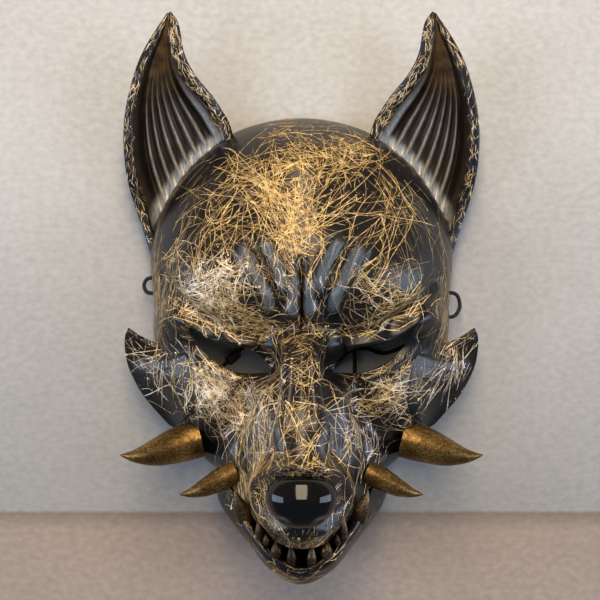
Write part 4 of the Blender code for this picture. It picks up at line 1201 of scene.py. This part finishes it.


# How much gold has settled as mist round each point of the face, from 0 to 1, and where the
# ridges between the brows turn blue-grey: rubbed graphite with a painted highlight over it
def paintOver(mesh):
    points = np.empty(3 * len(mesh.vertices))
    mesh.vertices.foreach_get("co", points)
    points = points.reshape(-1, 3) - shift
    mist = np.zeros(len(points))
    for zone in zoneRows():
        turn = math.radians(zone["turn"])
        x, y = points[:, 0] * 1000 - zone["x"], points[:, 1] * 1000 - zone["y"]
        u = (x * math.cos(turn) + y * math.sin(turn)) / zone["wide"]
        v = (y * math.cos(turn) - x * math.sin(turn)) / zone["long"]
        area = math.pi * zone["wide"] * zone["long"]
        cover = 4 * zone["throws"] * zone["length"] * zone["width"] / area
        mist += cover / (1 + np.exp(5 * (u * u + v * v - 1.1)))
    paintValue(mesh, "mist", np.clip(mist, 0, 1))
    paintValue(mesh, "ridge", relief(np.abs(points) * (1, 0, 0) + points * (0, 1, 1))[1])


# Satin acrylic sprayed on cast resin: soft broad highlights over a faint orange peel, with a
# mist of gold where the drizzle was flung
def satinBlack():
    finish, add, dress = newFinish("satinBlackAcrylic")
    place = add("TexCoord", output="Object")
    mist, ridge = (add("Attribute", output="Fac", attribute_name=name) for name in ("mist", "ridge"))
    peel = add("TexNoise", {"Scale": 900.0, "Detail": 3.0, "Vector": place})  # 1.1 mm
    cloud = add("TexNoise", {"Scale": 45.0, "Detail": 4.0, "Vector": place})  # 22 mm
    # fine threads that are too thin to lay as geometry: the crests of two stretched noises
    fine = []
    for turn, scale in ((0.7, (1, 6, 1)), (-0.6, (6, 1, 1))):
        along = add("Mapping", {"Rotation": (0, 0, turn), "Scale": scale, "Vector": place})
        wave = add("TexNoise", {"Scale": 150.0, "Detail": 2.0, "Distortion": 0.8, "Vector": along})
        off = add("Math", {0: wave, 1: 0.5}, operation="SUBTRACT")
        line = add("Math", {0: off}, operation="ABSOLUTE")
        fine.append(add("MapRange", {"From Min": 0.020, "From Max": 0.004, "Value": line}))
    both = add("Math", {0: fine[0], 1: fine[1]}, operation="MAXIMUM")
    cover = add("Math", {0: both, 1: mist}, operation="MULTIPLY")
    thin = add("Math", {0: cover, 1: 0.35}, operation="MULTIPLY")
    blend = add("MixRGB", {
        "Fac": thin,
        "Color1": add("ValToRGB", {0: cloud}, ((0.3, "#0d0e10"), (0.7, "#151619"))),
        "Color2": add("ValToRGB", {0: cloud}, ((0.3, "#6d5130"), (0.7, "#a88757"))),
    })
    # the ridges between the brows turn blue-grey: partly rubbed graphite, partly a painted highlight on
    # their tops
    graphiteAndHighlight = add("MapRange", {"From Min": 0.45, "From Max": 0.9, "To Max": 0.85, "Value": ridge})
    dress({
        "Base Color": add("MixRGB", {"Fac": graphiteAndHighlight, "Color1": blend, "Color2": linear("#56616b")}),
        "Metallic": thin,
        "Roughness": add("MapRange", {"To Min": 0.25, "To Max": 0.33, "Value": cloud}),
        "Specular IOR Level": 0.38,
        "Normal": add("Bump", {"Strength": 0.10, "Distance": 0.0003, "Height": peel}),
    })
    return finish


# Brass powder paint in threads: bright metal where it lies thick, duller where it is thin, in
# patches of 3 mm
def goldThread(name, dark, light, roughness):
    sockets = {"Metallic": 0.35, "Roughness": roughness}
    return grainedFinish(name, 320.0, 2.0, ((0.35, dark), (0.62, light)), None, sockets)


# Antique bronze paint, rubbed back by hand: dark in the pits, warm metal on the worn crown
def rubbedBronze(name, stops, metallic, roughness):
    finish, add, dress = newFinish(name)
    place = add("TexCoord", output="Object")
    stain = add("TexNoise", {"Scale": 70.0, "Detail": 5.0, "Roughness": 0.5, "Vector": place})  # 14 mm
    pits = add("TexNoise", {"Scale": 750.0, "Detail": 3.0, "Vector": place})  # 1.3 mm
    both = add("Math", {0: stain, 1: pits}, operation="ADD")
    worn = add("Math", {0: both, 1: 0.5}, operation="MULTIPLY")
    dress({
        "Base Color": add("ValToRGB", {0: worn}, stops),
        "Metallic": metallic,
        "Roughness": add("MapRange", {
            "To Min": roughness + 0.12, "To Max": roughness - 0.08, "Value": stain,
        }),
        "Normal": add("Bump", {"Strength": 0.15, "Distance": 0.0003, "Height": worn}),
    })
    return finish


# Clear lacquer over black: a hard mirror that shows the lamps, with a faint flow of 8 mm in it
def pianoLacquer():
    sockets = {"Roughness": 0.07, "Specular IOR Level": 0.3, "Coat Weight": 0.15, "Coat Roughness": 0.03}
    stops = ((0.3, "#050506"), (0.7, "#0a0a0b"))
    return grainedFinish("blackPianoLacquer", 120.0, 1.0, stops, (0.04, 0.0003), sockets)


# Ears: umber wash sunk in the flutes, silver dry-brushed on their ridges, black on the rim, and a painted
# shadow along the inside of the outer rim
def washedEar():
    finish, add, dress = newFinish("washedAndDryBrushedEar")
    place = add("TexCoord", output="Object")
    layers = ("silver", "hollow", "groove")
    silver, hollow, groove = (add("Attribute", output="Fac", attribute_name=name) for name in layers)
    stain = add("TexNoise", {"Scale": 130.0, "Detail": 6.0, "Vector": place})  # 8 mm
    umber = add("ValToRGB", {0: stain}, ((0.35, "#463520"), (0.65, "#7a5e3a")))
    # dark umber in the grooves, and the painted shadow inside the outer rim
    deep = add("MixRGB", {"Fac": groove, "Color1": umber, "Color2": linear("#120d08")})
    band = add("MixRGB", {"Fac": hollow, "Color1": linear("#121419"), "Color2": deep})
    streak = add("Mapping", {"Scale": (1, 0.12, 1), "Vector": place})
    hairs = add("TexNoise", {"Scale": 700.0, "Detail": 3.0, "Vector": streak})  # 1.4 mm
    brush = add("MapRange", {"From Min": 0.25, "From Max": 0.60, "To Min": 0.35, "Value": hairs})
    firm = add("Math", {0: silver, 1: brush}, operation="MULTIPLY")
    dress({
        "Base Color": add("MixRGB", {"Fac": firm, "Color1": band, "Color2": linear("#dde2e2")}),
        "Metallic": 0.25,
        "Roughness": 0.42,
        "Normal": add("Bump", {"Strength": 0.2, "Distance": 0.0003, "Height": stain}),
    })
    return finish


# Moulded nylon, dull, with a spark-eroded grain of 0.4 mm
def mouldedNylon():
    stops = ((0.3, "#0c0c0d"), (0.7, "#161617"))
    return grainedFinish("mouldedBlackNylon", 2500.0, 2.0, stops, (0.3, 0.0001), {"Roughness": 0.55})


# Pale plaster, with a strip of warm board under the chin as in the photograph
def plasterAndBoard(edge):
    finish, add, dress = newFinish("trowelledPlaster")
    place = add("TexCoord", output="Object")
    strokes = add("Mapping", {"Scale": (0.7, 1, 1), "Vector": place})
    broad = add("TexNoise", {"Scale": 6.0, "Detail": 9.0, "Roughness": 0.66, "Vector": strokes})  # 17 cm
    speck = add("TexNoise", {"Scale": 260.0, "Detail": 3.0, "Vector": strokes})  # 4 mm
    both = add("Math", {0: broad, 1: speck}, operation="ADD")
    grain = add("Math", {0: both, 1: 0.5}, operation="MULTIPLY")
    along = add("SeparateXYZ", {0: place}, output="Y")
    lower = add("MapRange", {"From Min": edge + 0.0012, "From Max": edge - 0.0012, "Value": along})
    # painted shade: the plaster is darker near the board, as the light falls off, and the board's edge
    # carries a painted contact shadow
    halves = []
    for stops, paintedShade in (
        (room["plaster"], {"From Min": edge, "From Max": edge + 0.26, "To Min": 0.66}),
        (room["board"], {"From Min": edge - 0.012, "From Max": edge, "To Min": 1.0, "To Max": 0.62}),
    ):
        colour, shadeFactor = add("ValToRGB", {0: grain}, stops), add("MapRange", {**paintedShade, "Value": along})
        halves.append(add("MixRGB", {"Fac": 1.0, "Color1": colour, "Color2": shadeFactor}, blend_type="MULTIPLY"))
    whole = add("MixRGB", {"Fac": lower, "Color1": halves[0], "Color2": halves[1]})
    dress({"Base Color": whole, "Roughness": 0.85})
    return finish


room = {
    "boardEdge": -0.1418,  # Y where the plaster ends
    "plaster": ((0.34, "#bdbdb9"), (0.5, "#cccbc6"), (0.66, "#d8d7d3")),
    "board": ((0.34, "#a19286"), (0.5, "#ae9e90"), (0.66, "#baaa9c")),
    "floorZ": -0.0003,
    "aim": (0, 0, 0.06),
    "lamps": (
        # name, place, size across and up, power in watts, colour
        ("warmSoftbox", (0.0, 0.60, 0.80), (0.28, 1.30), 9.8, "#ffe9cd"),
        ("leftPanel", (-1.05, -0.05, 0.46), (0.50, 1.10), 9.3, "#d2e2ff"),
        ("rightPanel", (1.05, -0.05, 0.46), (0.50, 1.10), 9.3, "#d2e2ff"),
    ),
    "sky": ((0.30, "#aab8c8"), (0.70, "#d8cdbd")),  # cool beyond the chin, warm beyond the ears
    "skyStrength": 0.32,
}


def makeRoom():
    mesh = bpy.data.meshes.new("tableTop")
    mesh.from_pydata([(-3, -3, 0), (3, -3, 0), (3, 3, 0), (-3, 3, 0)], [], [(0, 1, 2, 3)])
    mesh.materials.append(plasterAndBoard(room["boardEdge"] + shift[1]))
    floor = addObject("tableTop", mesh)
    floor.location.z = room["floorZ"]
    floor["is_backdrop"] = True
    for name, place, (wide, long), power, colour in room["lamps"]:
        lamp = addObject(name, bpy.data.lights.new(name, "AREA"))
        lamp.data.shape = "RECTANGLE"
        lamp.data.size, lamp.data.size_y = wide, long
        lamp.data.energy = power
        lamp.data.color = linear(colour)[:3]
        lamp.location = place
        lamp.rotation_euler = (Vector(room["aim"]) - Vector(place)).to_track_quat("-Z", "Y").to_euler()
    world = bpy.data.worlds.new("softSky")
    world.use_nodes = True
    tree = world.node_tree
    heading = addNode(tree, "SeparateXYZ", {0: addNode(tree, "TexCoord", output="Generated")}, output="Y")
    part = addNode(tree, "MapRange", {"From Min": -1.0, "Value": heading})
    glow = addNode(tree, "ValToRGB", {0: part}, room["sky"])
    setSockets(tree, tree.nodes["Background"], {"Color": glow, "Strength": room["skyStrength"]})
    scene.world = world
    scene.view_settings.view_transform = "Standard"


makeCord()
frame["nodes"]["cord_lock"].material_slots[0].material = mouldedNylon()

black = satinBlack()
maskFace, outerFace = makeFace(black)
fins = [makeFin("cheekFin" + word, side, outerFace, black) for side, word in ((-1, "Left"), (1, "Right"))]
maskJaw = makeJaw(black)
for piece in (maskFace, *fins, maskJaw):
    paintOver(piece.data)
print("shell made")

filler = makeFiller()
earPaint, lacquer = washedEar(), pianoLacquer()
bronze, olive = (rubbedBronze(*look) for look in (
    ("rubbedAntiqueBronze", ((0.34, "#3a2a14"), (0.50, "#725628"), (0.66, "#b0905a")), 0.75, 0.33),
    ("oliveBronzeTeeth", ((0.36, "#1c160d"), (0.50, "#43341f"), (0.64, "#746043")), 0.60, 0.36),
))
makeNose(filler, lacquer)
ears = []
for side, word in ((-1, "Left"), (1, "Right")):
    ears.append(makeEar("ear" + word, side, filler, outerFace, earPaint, "ear_" + word.lower()))
    makeHorn("upperTusk", side, bronze, filler=filler)
    makeHorn("lowerTusk", side, bronze, filler=filler)
    makeHorn("jawFang", side, olive)
    for number, (*root, width, height) in enumerate(horns["teeth"], 1):
        makeHorn("jawTooth", side, olive, number, root, width, height)
print("ears, nose, tusks and teeth made")

earFront = earPoints()[0]
makeDrizzle(
    treeOf(maskFace, *fins, maskJaw),
    [(treeOf(piece), mirrored(earFront, side)) for piece, side in zip(ears, (-1, 1))],
    {
        "bright": goldThread("goldThreadBright", "#a88444", "#f6d490", 0.42),
        "pale": goldThread("goldThreadPale", "#c4a272", "#ffeed0", 0.42),
        "dull": goldThread("goldThreadDull", "#786038", "#bda06a", 0.48),
    },
)
makeRoom()

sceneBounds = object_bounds()
{name: [list(corner) for corner in box] for name, box in (("cad", cadBounds), ("scene", sceneBounds))}
